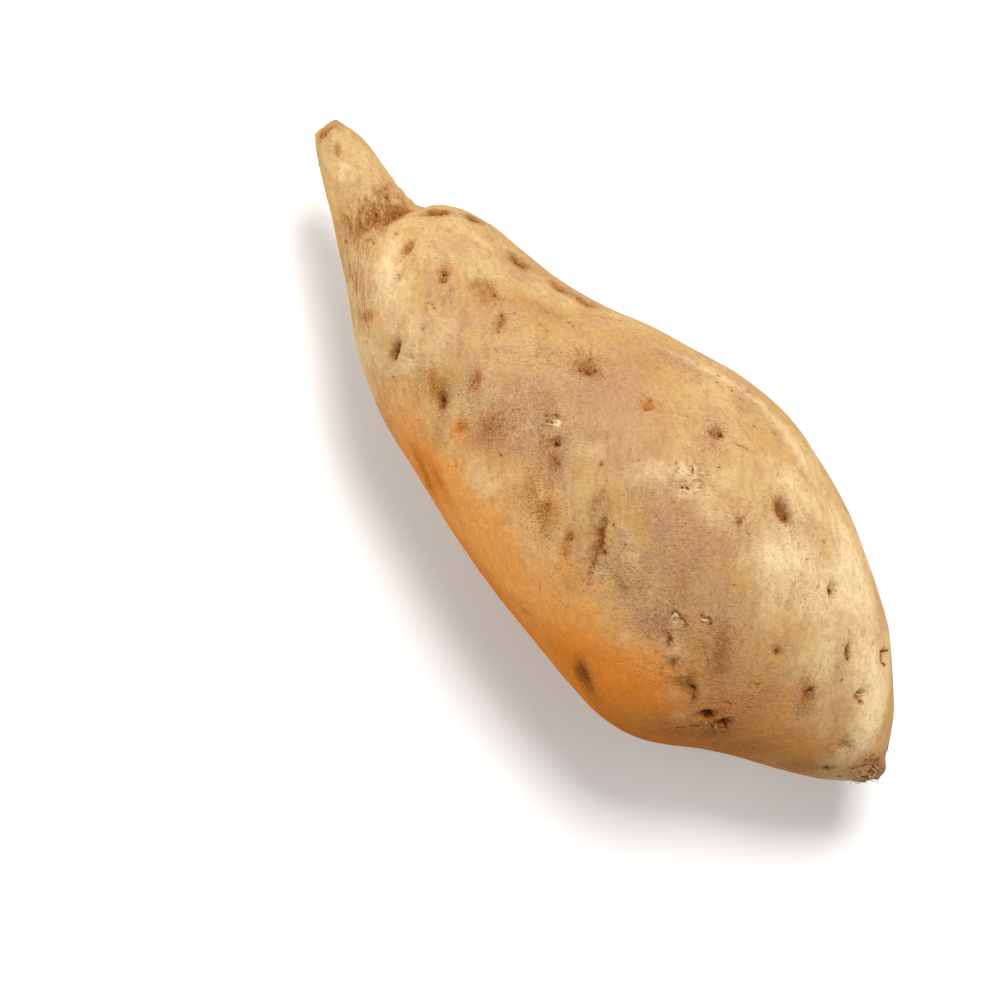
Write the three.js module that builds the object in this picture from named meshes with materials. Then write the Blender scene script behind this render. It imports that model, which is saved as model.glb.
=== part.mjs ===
import * as THREE from 'three';
import { mergeVertices } from 'three/addons/utils/BufferGeometryUtils.js';

// A white sweet potato as picked: one whole storage root, lying on its belly.
// Millimetres, +Z up. The neck, where it hung on the stem, is at -X and the root end at +X.
// It is made as a sphere pulled out to the root's length and to the reach of its four sides.
// Eyes, folds and swellings then move that skin in or out, and the belly is flat where it rests.

// Driving sizes, and the middle of the finished root, which is set over the origin
const LENGTH = 206;
const MIDDLE_ALONG = 103.3;
const MIDDLE_ACROSS = -0.9;

// How far each side reaches at a distance from the neck's tip, measured from one straight line
// through the tip. Across, + is the far side, where the shoulder has its sharp corner.
const FAR_SIDE = [
  [0, -1.2], [1, 1.5], [4, 3.1], [8, 4.1], [16, 3.9], [25, 3.7], [28.6, 4.6], [31, 7.2], [34, 9.7],
  [38, 12.3], [44, 14.5], [55, 16.9], [66, 19.2], [76, 22.6], [87, 28.1], [98, 32.6], [111, 37.2],
  [124, 39.8], [138, 38.7], [152, 35.9], [166, 31.3], [178, 26.4], [188, 20], [196, 14.3],
  [201.5, 8.2], [204.4, 3.6], [206, 0.4],
];
const NEAR_SIDE = [
  [0, -1.2], [0.6, -4], [2.9, -6.1], [8, -8.8], [16, -12.8], [26, -17.9], [36, -23], [44, -27.9],
  [52, -31.7], [62, -35], [76, -37.3], [90, -39.2], [104, -40.8], [124, -41.6], [140, -41.3],
  [151, -40.3], [159, -37.9], [166, -33.6], [173, -27.5], [181, -21.5], [189, -15.9], [197, -10.1],
  [202, -5.2], [204.6, -1.8], [206, 0.4],
];

// Heights of the back and the belly above the surface that the root lies on.
// The belly dips under it where the weight presses it flat.
const BACK = [
  [0, 34], [1, 36.8], [4, 38.4], [8, 39.6], [16, 41.6], [25, 43.6], [30, 46], [36, 50], [44, 54],
  [55, 57.6], [66, 60.3], [80, 63.8], [96, 68.2], [112, 71.4], [126, 72.2], [140, 71.3], [152, 68.8],
  [164, 64.6], [176, 58.6], [186, 52.2], [195, 44.8], [201, 38.4], [204.4, 33.5], [206, 29.5],
];
const BELLY = [
  [0, 34], [1, 31.2], [4, 29.3], [8, 27.6], [16, 24.6], [26, 21.4], [36, 17.4], [46, 13.4], [58, 9.2],
  [72, 5], [88, 1.4], [102, -0.6], [115, -1.1], [128, -0.7], [143, 1], [156, 3.8], [168, 7.8],
  [180, 12.6], [190, 17.2], [198, 21.4], [203, 25], [206, 29.5],
];

// Swellings and hollows: distance along, turn round the root in degrees (0 is the far side,
// 90 the back, 180 the near side, 270 the belly), reach, and height out of the skin.
const SWELLINGS = [
  [14, 95, 6, 0.5], [19, 205, 6, -0.4], [40, 128, 11, 0.9], [57, 42, 13, -0.9], [90, 58, 19, 0.9],
  [110, 112, 22, -0.7], [148, 66, 22, 0.8], [151, 158, 15, 0.9], [177, 62, 13, -0.8],
  [60, 250, 15, 1], [84, 305, 17, -1], [118, 212, 15, -0.8], [152, 302, 18, 1], [168, 228, 14, -0.9],
  [38, 300, 9, -0.6],
];

// Eyes on the upper side: distance along, distance across, length, width, depth, and the
// direction of their length in degrees from +X towards +Y, all as seen from above.
const UPPER_EYES = [
  [7.5, -2.6, 2.6, 1.5, 0.6, 140], [37, -5, 4.4, 2, 1, 115], [47.5, -2.5, 5.8, 2.2, 1.4, 115],
  [41.2, -11.2, 2.8, 1.7, 0.7, 115], [53.8, -22.9, 5.8, 2.2, 1.5, 115], [70, -22, 5.2, 2.4, 1.4, 140],
  [64.6, 0.5, 5, 2.4, 1.1, 115], [71.5, -13.1, 5, 2.4, 0.8, 125], [78, -22.5, 4.2, 3, 0.7, 120],
  [33.7, 5.2, 5, 2, 1.1, 50], [41, 12, 3.6, 1.8, 0.9, 50], [55.5, 14.6, 4.2, 2.4, 1.4, 12],
  [66.5, 17.5, 4.2, 2.4, 1.4, 15], [73.4, 19.8, 5.2, 2.2, 1.3, 30], [86.2, 8.8, 5.4, 4.2, 1.3, 0],
  [101.3, 14.1, 4.2, 3.4, 1, 0], [94.4, -7.9, 3, 2.4, 1.2, 90], [116.5, 22.3, 4.6, 3, 1.2, 100],
  [140, 22, 6.2, 4, 2.2, 167], [135, 13, 3.2, 2, 0.7, 100], [161.7, 19.6, 4.6, 2.2, 1.3, 140],
  [118, -15.2, 12.5, 2.8, 1.8, 123], [115.3, -22.4, 9, 2.6, 0.7, 130], [141, -37.3, 8.4, 4, 1.1, 140],
  [165.7, -21.2, 4.8, 2.8, 1.4, 60], [169.3, -19.5, 3.6, 2.4, 1.2, 60], [164.3, 0.5, 3, 2.6, 1, 0],
  [176, 14, 5.2, 2.2, 1.3, 140], [182.8, 20.3, 3.6, 2.4, 1.2, 100], [177.5, 0, 4.4, 2.8, 1.3, 120],
  [186.5, 9.6, 4.2, 3.2, 1.5, 100], [193.3, -1, 4.4, 3.8, 0.9, 0], [195.4, -7.3, 3, 2.4, 0.9, 0],
  [151, -20, 3.4, 2.2, 0.8, 110], [158.2, -20.2, 4.4, 2, 0.7, 150],
];

// Eyes on the hidden side stand in rows along the root, with sizes drawn between these.
// None is so low that the flat of the belly would meet it.
const HIDDEN_ROWS = [198, 228, 258, 288, 318, 345];
const HIDDEN_START = 16;
const HIDDEN_END = 196;
const HIDDEN_STEP = [20, 36];
const HIDDEN_WANDER = [-8, 8];
const HIDDEN_LENGTH = [2.8, 5.8];
const HIDDEN_WIDTH = [1.6, 2.8];
const HIDDEN_DEPTH = [0.7, 1.5];
const HIDDEN_TURN = [70, 120];
const LOWEST_EYE = 3;
const EYE_LIP = 0.22;
const EYE_REACH = 1.5;

// The fold where the neck meets the shoulder runs round the root and fades towards the near side.
// Smaller folds lie beside it on the neck: [offset, half width, share of its depth].
const FOLD_ALONG = 28.7;
const FOLD_LEAN = 0.2;
const FOLD_DEPTH = 1.4;
const FOLD_FADE = 1.3;
const FOLDS = [[0, 1.5, 1], [-3.8, 1.1, 0.4], [-7.1, 1, 0.28]];

// The broken scar on the neck's tip, a dish with a rim, and the knobs on the root end
const SCAR_RADIUS = 1.7;
const SCAR_DEPTH = 0.5;
const SCAR_RIM_RADIUS = 2.9;
const SCAR_RIM_WIDTH = 0.85;
const SCAR_RIM_HEIGHT = 0.35;
const KNOBS = 9;
const KNOB_FROM_END = [0.4, 4.9];
const KNOB_RADIUS = [1.1, 2.1];
const KNOB_HEIGHT = [0.25, 0.75];

// Lengths of the mesh's edges: on plain skin, in the smallest marks, as a share of an eye's width,
// and how fast they grow with the distance from a mark. The fold's grow longer as it fades.
const PLAIN_EDGE = 7.5;
const FINE_EDGE = 1.75;
const EYE_EDGE = 0.85;
const EDGE_GROWTH = 1.15;
const FOLD_EDGE = 1.95;
const FOLD_FADES_AT = -8;
const FOLD_EDGE_GROWTH = 0.5;
const START_DETAIL = 3;
const MOST_PASSES = 9;

// Steps on the sphere that a normal is worked out from, and the least distance from its axis
const NORMAL_STEP = 0.004;
const LEAST_ROUND = 1e-9;

const SKIN_COLOUR = 0xdcb67f;
const SKIN_ROUGHNESS = 0.6;

const { clamp, degToRad, lerp } = THREE.MathUtils;

// Repeatable random draws, each between the two ends of a range
let drawn = 2026;
function draw([low, high]) {
  drawn = (drawn * 1664525 + 1013904223) % 4294967296;
  return lerp(low, high, drawn / 4294967296);
}

// Turns a distance along the root into an angle from its tip, so that round ends stay round
function station(along) {
  return Math.acos(clamp(1 - (2 * along) / LENGTH, -1, 1));
}

// A smooth curve through the points of one side, as a function of the station
function sideCurve(points) {
  const at = points.map(([along]) => station(along));
  const value = points.map((point) => point[1]);
  const last = points.length - 1;
  const steepness = (i) => (value[i + 1] - value[i]) / (at[i + 1] - at[i]);
  const slope = points.map((_, i) => {
    if (i === 0 || i === last) return steepness(Math.min(i, last - 1));
    const before = at[i] - at[i - 1];
    const after = at[i + 1] - at[i];
    return (steepness(i - 1) * after + steepness(i) * before) / (before + after);
  });
  return (s) => {
    let i = 0;
    while (i < last - 1 && s >= at[i + 1]) i += 1;
    const span = at[i + 1] - at[i];
    const f = (s - at[i]) / span;
    const g = 1 - f;
    return (1 + 2 * f) * g * g * value[i] + f * g * g * span * slope[i]
      + f * f * (3 - 2 * f) * value[i + 1] - f * f * g * span * slope[i + 1];
  };
}

const farSide = sideCurve(FAR_SIDE);
const nearSide = sideCurve(NEAR_SIDE);
const back = sideCurve(BACK);
const belly = sideCurve(BELLY);

function roundness(direction) {
  return Math.max(Math.hypot(direction.y, direction.z), LEAST_ROUND);
}

// The plain skin over a direction of the sphere
function skinPoint(direction) {
  const s = Math.acos(clamp(-direction.x, -1, 1));
  const round = roundness(direction);
  const across = (farSide(s) - nearSide(s)) / 2;
  const high = (back(s) - belly(s)) / 2;
  return new THREE.Vector3(
    (LENGTH / 2) * (1 + direction.x),
    (farSide(s) + nearSide(s)) / 2 + (across * direction.y) / round,
    (back(s) + belly(s)) / 2 + (high * direction.z) / round,
  );
}

function directionAt(along, turn) {
  const x = (2 * along) / LENGTH - 1;
  const round = Math.sqrt(1 - x * x);
  return new THREE.Vector3(x, round * Math.cos(turn), round * Math.sin(turn));
}

// The outward normal of the plain skin, from short steps on the sphere
function skinNormal(direction) {
  const helper = Math.abs(direction.z) < 0.8 ? new THREE.Vector3(0, 0, 1) : new THREE.Vector3(0, 1, 0);
  const first = helper.cross(direction).normalize();
  const second = direction.clone().cross(first);
  const slide = (way, size) => skinPoint(direction.clone().addScaledVector(way, size).normalize());
  const alongFirst = slide(first, NORMAL_STEP).sub(slide(first, -NORMAL_STEP));
  const alongSecond = slide(second, NORMAL_STEP).sub(slide(second, -NORMAL_STEP));
  return alongFirst.cross(alongSecond).normalize();
}

// An eye is a small oval bowl with a low lip, in the plane that touches the skin there
function makeEye(direction, length, width, depth, turn) {
  const normal = skinNormal(direction);
  const lengthwise = new THREE.Vector3(1, 0, 0).addScaledVector(normal, -normal.x).normalize();
  const crosswise = normal.clone().cross(lengthwise);
  const long = lengthwise.multiplyScalar(Math.cos(turn)).addScaledVector(crosswise, Math.sin(turn));
  return {
    centre: skinPoint(direction),
    wide: normal.cross(long).divideScalar(width / 2),
    long: long.divideScalar(length / 2),
    length,
    width,
    depth,
  };
}

function upperEye([along, across, length, width, depth, turn]) {
  const s = station(along);
  const middle = (farSide(s) + nearSide(s)) / 2;
  const reach = (farSide(s) - nearSide(s)) / 2;
  const round = Math.acos(clamp((across - middle) / reach, -1, 1));
  return makeEye(directionAt(along, round), length, width, depth, degToRad(turn));
}

function hiddenEyes() {
  const found = [];
  for (const row of HIDDEN_ROWS) {
    for (let along = HIDDEN_START + draw(HIDDEN_STEP); along < HIDDEN_END; along += draw(HIDDEN_STEP)) {
      const direction = directionAt(along, degToRad(row + draw(HIDDEN_WANDER)));
      const length = draw(HIDDEN_LENGTH);
      const width = draw(HIDDEN_WIDTH);
      const depth = draw(HIDDEN_DEPTH);
      const turn = degToRad(draw(HIDDEN_TURN));
      if (skinPoint(direction).z > LOWEST_EYE) found.push(makeEye(direction, length, width, depth, turn));
    }
  }
  return found;
}

// A lump is a round swelling, or a hollow where its height is negative
function makeLump(along, turn, reach, height) {
  return { centre: skinPoint(directionAt(along, degToRad(turn))), reach, height };
}

function makeKnobs() {
  const turnStep = 360 / KNOBS;
  return Array.from({ length: KNOBS }, (_, i) => {
    const along = LENGTH - draw(KNOB_FROM_END);
    const turn = draw([i * turnStep, (i + 1) * turnStep]);
    return makeLump(along, turn, draw(KNOB_RADIUS), draw(KNOB_HEIGHT));
  });
}

const eyes = [...UPPER_EYES.map(upperEye), ...hiddenEyes()];
const knobs = makeKnobs();
const lumps = [...SWELLINGS.map((swelling) => makeLump(...swelling)), ...knobs];
const tip = skinPoint(new THREE.Vector3(-1, 0, 0));

function bell(distance, reach) {
  return Math.exp(-((distance / reach) ** 2));
}

function eyeRelief(eye, point) {
  const away = point.clone().sub(eye.centre);
  if (away.length() > EYE_REACH * eye.length) return 0;
  const ring = away.dot(eye.long) ** 2 + away.dot(eye.wide) ** 2;
  return eye.depth * Math.exp(-ring) * (EYE_LIP * ring * ring - 1);
}

function foldOffset(point) {
  return point.x - FOLD_ALONG - FOLD_LEAN * point.y;
}

function foldStrength(direction) {
  return ((1 + direction.y / roundness(direction)) / 2) ** FOLD_FADE;
}

// How far the finished skin stands out of the plain skin
function relief(direction, point) {
  let height = 0;
  for (const lump of lumps) height += lump.height * bell(point.distanceTo(lump.centre), lump.reach);
  for (const eye of eyes) height += eyeRelief(eye, point);
  const offset = foldOffset(point);
  const depth = FOLD_DEPTH * foldStrength(direction);
  for (const [place, width, share] of FOLDS) height -= depth * share * bell(offset - place, width);
  const fromTip = point.distanceTo(tip);
  height -= SCAR_DEPTH * bell(fromTip, SCAR_RADIUS);
  height += SCAR_RIM_HEIGHT * bell(fromTip - SCAR_RIM_RADIUS, SCAR_RIM_WIDTH);
  return height;
}

function finishedPoint(direction) {
  const point = skinPoint(direction);
  point.addScaledVector(skinNormal(direction), relief(direction, point));
  point.z = Math.max(point.z, 0);
  return point;
}

// How long an edge may be at a place: short in and near the marks, long on plain skin
function longestEdge(point) {
  let longest = PLAIN_EDGE;
  const allow = (edge, gap) => {
    longest = Math.min(longest, edge + EDGE_GROWTH * Math.max(gap, 0));
  };
  for (const eye of eyes) {
    allow(Math.max(FINE_EDGE, EYE_EDGE * eye.width), point.distanceTo(eye.centre) - eye.length / 2);
  }
  for (const knob of knobs) allow(FINE_EDGE, point.distanceTo(knob.centre) - knob.reach);
  allow(FINE_EDGE, point.distanceTo(tip) - SCAR_RIM_RADIUS);
  const faded = Math.max(0, FOLD_FADES_AT - point.y);
  allow(FOLD_EDGE + FOLD_EDGE_GROWTH * faded, Math.abs(foldOffset(point)) - FOLDS[0][1]);
  return longest;
}

// Splits a triangle [a, b, c] at the middles of the sides that are too long; null is no middle
function split([a, b, c], [ab, bc, ca], places) {
  const cuts = [ab, bc, ca].filter((middle) => middle !== null).length;
  if (cuts === 0) return [[a, b, c]];
  if (cuts === 3) return [[a, ab, ca], [ab, b, bc], [ca, bc, c], [ab, bc, ca]];
  if (ab === null) return split([b, c, a], [bc, ca, ab], places);
  if (cuts === 1) return [[a, ab, c], [ab, b, c]];
  if (bc === null) return split([c, a, b], [ca, ab, bc], places);
  const shorter = places[a].distanceTo(places[bc]) < places[ab].distanceTo(places[c]);
  const rest = shorter ? [[a, ab, bc], [a, bc, c]] : [[a, ab, c], [ab, bc, c]];
  return [[ab, b, bc], ...rest];
}

// Adds directions at the middles of long edges, pass by pass, and gives the triangles back
function refine(directions, triangles) {
  const places = directions.map(skinPoint);
  let current = triangles;
  for (let pass = 0; pass < MOST_PASSES; pass += 1) {
    const middles = new Map();
    const middle = (a, b) => {
      const key = a < b ? `${a} ${b}` : `${b} ${a}`;
      if (!middles.has(key)) {
        const between = places[a].clone().lerp(places[b], 0.5);
        const tooLong = places[a].distanceTo(places[b]) > longestEdge(between);
        if (tooLong) {
          const direction = directions[a].clone().add(directions[b]).normalize();
          directions.push(direction);
          places.push(skinPoint(direction));
        }
        middles.set(key, tooLong ? directions.length - 1 : null);
      }
      return middles.get(key);
    };
    current = current.flatMap(([a, b, c]) => {
      const cuts = [middle(a, b), middle(b, c), middle(c, a)];
      return split([a, b, c], cuts, places);
    });
  }
  return current;
}

function rootGeometry() {
  const ball = new THREE.IcosahedronGeometry(1, START_DETAIL);
  ball.deleteAttribute('normal');
  ball.deleteAttribute('uv');
  const welded = mergeVertices(ball, 1e-4);
  const corners = welded.getAttribute('position');
  const directions = Array.from({ length: corners.count }, (_, i) => (
    new THREE.Vector3().fromBufferAttribute(corners, i).normalize()
  ));
  const index = welded.getIndex();
  const triangles = Array.from({ length: index.count / 3 }, (_, i) => (
    [index.getX(3 * i), index.getX(3 * i + 1), index.getX(3 * i + 2)]
  ));
  const faces = refine(directions, triangles);
  const geometry = new THREE.BufferGeometry().setFromPoints(directions.map(finishedPoint));
  geometry.setIndex(faces.flat());
  geometry.translate(-MIDDLE_ALONG, -MIDDLE_ACROSS, 0);
  geometry.computeVertexNormals();
  return geometry;
}

const skin = new THREE.MeshStandardMaterial({ color: SKIN_COLOUR, roughness: SKIN_ROUGHNESS, metalness: 0 });
const root = new THREE.Mesh(rootGeometry(), skin);
root.name = 'storage_root';

const sweetPotato = new THREE.Group();
sweetPotato.add(root);

export default sweetPotato;
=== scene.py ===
import math

import bmesh
import bpy
import numpy as np
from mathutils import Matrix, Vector, noise


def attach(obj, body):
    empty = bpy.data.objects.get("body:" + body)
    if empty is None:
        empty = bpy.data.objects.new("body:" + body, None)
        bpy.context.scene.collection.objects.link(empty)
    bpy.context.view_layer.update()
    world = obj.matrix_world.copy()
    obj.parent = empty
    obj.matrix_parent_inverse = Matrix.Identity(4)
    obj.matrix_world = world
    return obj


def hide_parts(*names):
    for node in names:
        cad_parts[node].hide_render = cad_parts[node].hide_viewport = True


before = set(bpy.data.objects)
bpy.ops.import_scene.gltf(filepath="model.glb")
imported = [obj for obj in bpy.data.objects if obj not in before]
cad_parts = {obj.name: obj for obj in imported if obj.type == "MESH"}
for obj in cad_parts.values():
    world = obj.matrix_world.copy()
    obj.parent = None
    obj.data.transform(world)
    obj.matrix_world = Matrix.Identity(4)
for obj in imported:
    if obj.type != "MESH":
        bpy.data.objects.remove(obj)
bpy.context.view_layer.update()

# A white sweet potato as picked, lying on its belly: one storage root with its skin in full detail.
# Lengths are millimetres, measured along the root from the neck's tip and across it from a line
# through the tip, + towards the side with the sharp shoulder. Meshes are made in metres, with the
# frame's origin under the middle of the root. Directions on the skin, called turns, are degrees
# from +X towards +Y as seen from above.
METRES = 0.001
LENGTH = 206.0
MIDDLE = np.array([103.3, -0.9, 0.0])

# How far the four sides reach at a distance from the tip: the far and the near side across, and
# the heights of the back and the belly. These are the frame part's own sizes.
FAR_SIDE = [
    (0, -1.2), (1, 1.5), (4, 3.1), (8, 4.1), (16, 3.9), (25, 3.7), (28.6, 4.6), (31, 7.2), (34, 9.7),
    (38, 12.3), (44, 14.5), (55, 16.9), (66, 19.2), (76, 22.6), (87, 28.1), (98, 32.6), (111, 37.2),
    (124, 39.8), (138, 38.7), (152, 35.9), (166, 31.3), (178, 26.4), (188, 20), (196, 14.3),
    (201.5, 8.2), (204.4, 3.6), (206, 0.4),
]
NEAR_SIDE = [
    (0, -1.2), (0.6, -4), (2.9, -6.1), (8, -8.8), (16, -12.8), (26, -17.9), (36, -23), (44, -27.9),
    (52, -31.7), (62, -35), (76, -37.3), (90, -39.2), (104, -40.8), (124, -41.6), (140, -41.3),
    (151, -40.3), (159, -37.9), (166, -33.6), (173, -27.5), (181, -21.5), (189, -15.9), (197, -10.1),
    (202, -5.2), (204.6, -1.8), (206, 0.4),
]
BACK = [
    (0, 34), (1, 36.8), (4, 38.4), (8, 39.6), (16, 41.6), (25, 43.6), (30, 46), (36, 50), (44, 54),
    (55, 57.6), (66, 60.3), (80, 63.8), (96, 68.2), (112, 71.4), (126, 72.2), (140, 71.3), (152, 68.8),
    (164, 64.6), (176, 58.6), (186, 52.2), (195, 44.8), (201, 38.4), (204.4, 33.5), (206, 29.5),
]
BELLY = [
    (0, 34), (1, 31.2), (4, 29.3), (8, 27.6), (16, 24.6), (26, 21.4), (36, 17.4), (46, 13.4), (58, 9.2),
    (72, 5), (88, 1.4), (102, -0.6), (115, -1.1), (128, -0.7), (143, 1), (156, 3.8), (168, 7.8),
    (180, 12.6), (190, 17.2), (198, 21.4), (203, 25), (206, 29.5),
]

# Swellings and hollows: distance along, turn round the root (0 far side, 90 back, 180 near side,
# 270 belly), reach and height
SWELLINGS = [
    (14, 95, 6, 0.5), (19, 205, 6, -0.4), (40, 128, 11, 0.9), (57, 42, 13, -0.9), (90, 58, 19, 0.9),
    (110, 112, 22, -0.7), (148, 66, 22, 0.8), (151, 158, 15, 0.9), (177, 62, 13, -0.8),
    (60, 250, 15, 1), (84, 305, 17, -1), (118, 212, 15, -0.8), (152, 302, 18, 1), (168, 228, 14, -0.9),
    (38, 300, 9, -0.6),
]

# Eyes on the upper side: along, across, length, width, depth, turn of the length, how dark the
# bottom is, and how strongly the skin round it is stained brown
UPPER_EYES = [
    (7.5, -2.6, 2.6, 1.5, 0.6, 140, 0.35, 0.5), (37, -5, 4.4, 2, 1, 115, 0.3, 0.5),
    (47.5, -2.5, 5.8, 2.2, 1.4, 115, 0.7, 0.4), (41.2, -11.2, 2.8, 1.7, 0.7, 115, 0.5, 0.4),
    (53.8, -22.9, 5.8, 2.2, 1.5, 115, 0.6, 0.9), (70, -22, 5.2, 2.4, 1.4, 140, 0.85, 0.7),
    (64.6, 0.5, 5, 2.4, 1.1, 115, 0.55, 0.6), (71.5, -13.1, 5, 2.4, 0.8, 125, 0.2, 0.6),
    (78, -22.5, 4.2, 3, 0.7, 120, 0.25, 0.6), (33.7, 5.2, 5, 2, 1.1, 50, 0.7, 0.5),
    (41, 12, 3.6, 1.8, 0.9, 50, 0.5, 0.5), (55.5, 14.6, 4.2, 2.4, 1.4, 12, 0.75, 0.5),
    (66.5, 17.5, 4.2, 2.4, 1.4, 15, 0.6, 0.7), (73.4, 19.8, 5.2, 2.2, 1.3, 30, 0.65, 0.5),
    (86.2, 8.8, 5.4, 4.2, 1.3, 0, 0.6, 0.3), (101.3, 14.1, 4.2, 3.4, 1, 0, 0.3, 0.4),
    (94.4, -7.9, 3, 2.4, 1.2, 90, 0.85, 0.4), (116.5, 22.3, 4.6, 3, 1.2, 100, 0.6, 0.3),
    (140, 22, 6.2, 4, 2.2, 167, 0.6, 0.6), (135, 13, 3.2, 2, 0.7, 100, 0.5, 0.6),
    (161.7, 19.6, 4.6, 2.2, 1.3, 140, 0.75, 0.5), (118, -15.2, 12.5, 2.8, 1.8, 123, 0.22, 0.12),
    (115.3, -22.4, 9, 2.6, 0.7, 130, 0.1, 0.5), (141, -37.3, 8.4, 4, 1.1, 140, 0.36, 0.8),
    (165.7, -21.2, 4.8, 2.8, 1.4, 60, 1, 0.7), (169.3, -19.5, 3.6, 2.4, 1.2, 60, 1, 0.7),
    (164.3, 0.5, 3, 2.6, 1, 0, 0.9, 0.3), (176, 14, 5.2, 2.2, 1.3, 140, 0.85, 0.6),
    (182.8, 20.3, 3.6, 2.4, 1.2, 100, 0.7, 0.5), (177.5, 0, 4.4, 2.8, 1.3, 120, 0.85, 0.6),
    (186.5, 9.6, 4.2, 3.2, 1.5, 100, 0.9, 0.6), (193.3, -1, 4.4, 3.8, 0.9, 0, 0.15, 0.4),
    (195.4, -7.3, 3, 2.4, 0.9, 0, 0.2, 0.4), (151, -20, 3.4, 2.2, 0.8, 110, 0.2, 0.5),
    (158.2, -20.2, 4.4, 2, 0.7, 150, 0.4, 0.8),
]

# Eyes on the hidden side stand in rows, each at a turn round the root. They are drawn as in the
# frame's part, and the deeper an eye is, the darker.
PART_SEED = 2026
HIDDEN_ROWS = [198, 228, 258, 288, 318, 345]
HIDDEN_START, HIDDEN_END = 16, 196
HIDDEN_STEP, HIDDEN_WANDER = (20, 36), (-8, 8)
HIDDEN_LENGTH, HIDDEN_WIDTH, HIDDEN_DEPTH = (2.8, 5.8), (1.6, 2.8), (0.7, 1.5)
HIDDEN_TURN = (70, 120)
HIDDEN_DARK, HIDDEN_DARK_DEPTH, HIDDEN_STAIN = 0.35, 2.4, 0.7
LOWEST_EYE = 3
EYE_LIP, EYE_REACH = 0.22, 1.5

# The fold at the neck's base, the scar on the tip and the knobs on the root end
FOLD_ALONG, FOLD_LEAN, FOLD_DEPTH, FOLD_FADE = 28.7, 0.2, 1.4, 1.3
FOLDS = [(0, 1.5, 1), (-3.8, 1.1, 0.4), (-7.1, 1, 0.28)]
SCAR_RADIUS, SCAR_DEPTH = 1.7, 0.5
SCAR_RIM_RADIUS, SCAR_RIM_WIDTH, SCAR_RIM_HEIGHT = 2.9, 0.85, 0.35
KNOBS = 9
KNOB_FROM_END, KNOB_RADIUS, KNOB_HEIGHT = (0.4, 4.9), (1.1, 2.1), (0.25, 0.75)

# The step on the sphere that normals come from, the steepest direction that is crossed with the
# vertical for it, and a least radius for the poles
NORMAL_STEP, STEEPEST, LEAST_ROUND = 0.004, 0.8, 1e-9

# The camera looks straight down. Lights are given by their name, how far right of and above the
# frame's origin they are as the camera sees it, their height, size, power and colour, and the place
# that they face. All are metres and watts.
CAMERA_LENS, CAMERA_SENSOR, CAMERA_TURN = 120, 36, 50.2
CAMERA_PLACE = (-0.007, -0.0253, 0.835)
FLOOR_SIZE, FLOOR_BRIGHTNESS, FLOOR_ROUGHNESS = 6, 0.98, 0.9
SKY_COLOUR, SKY_STRENGTH = (1, 1, 1), 0.38
LIGHTS = [
    ("key", 0.22, 0.57, 1.12, 0.42, 13.9, (1, 0.99, 0.975), (0, 0, 0.03)),
    ("rim", 0.7, 0.0, 0.3, 0.4, 1.5, (1, 0.99, 0.97), (0, 0, 0.03)),
    ("fill", -0.62, 0.36, 0.28, 0.4, 2.8, (1, 0.99, 0.975), (-0.05, 0.05, 0.03)),
]

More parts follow.
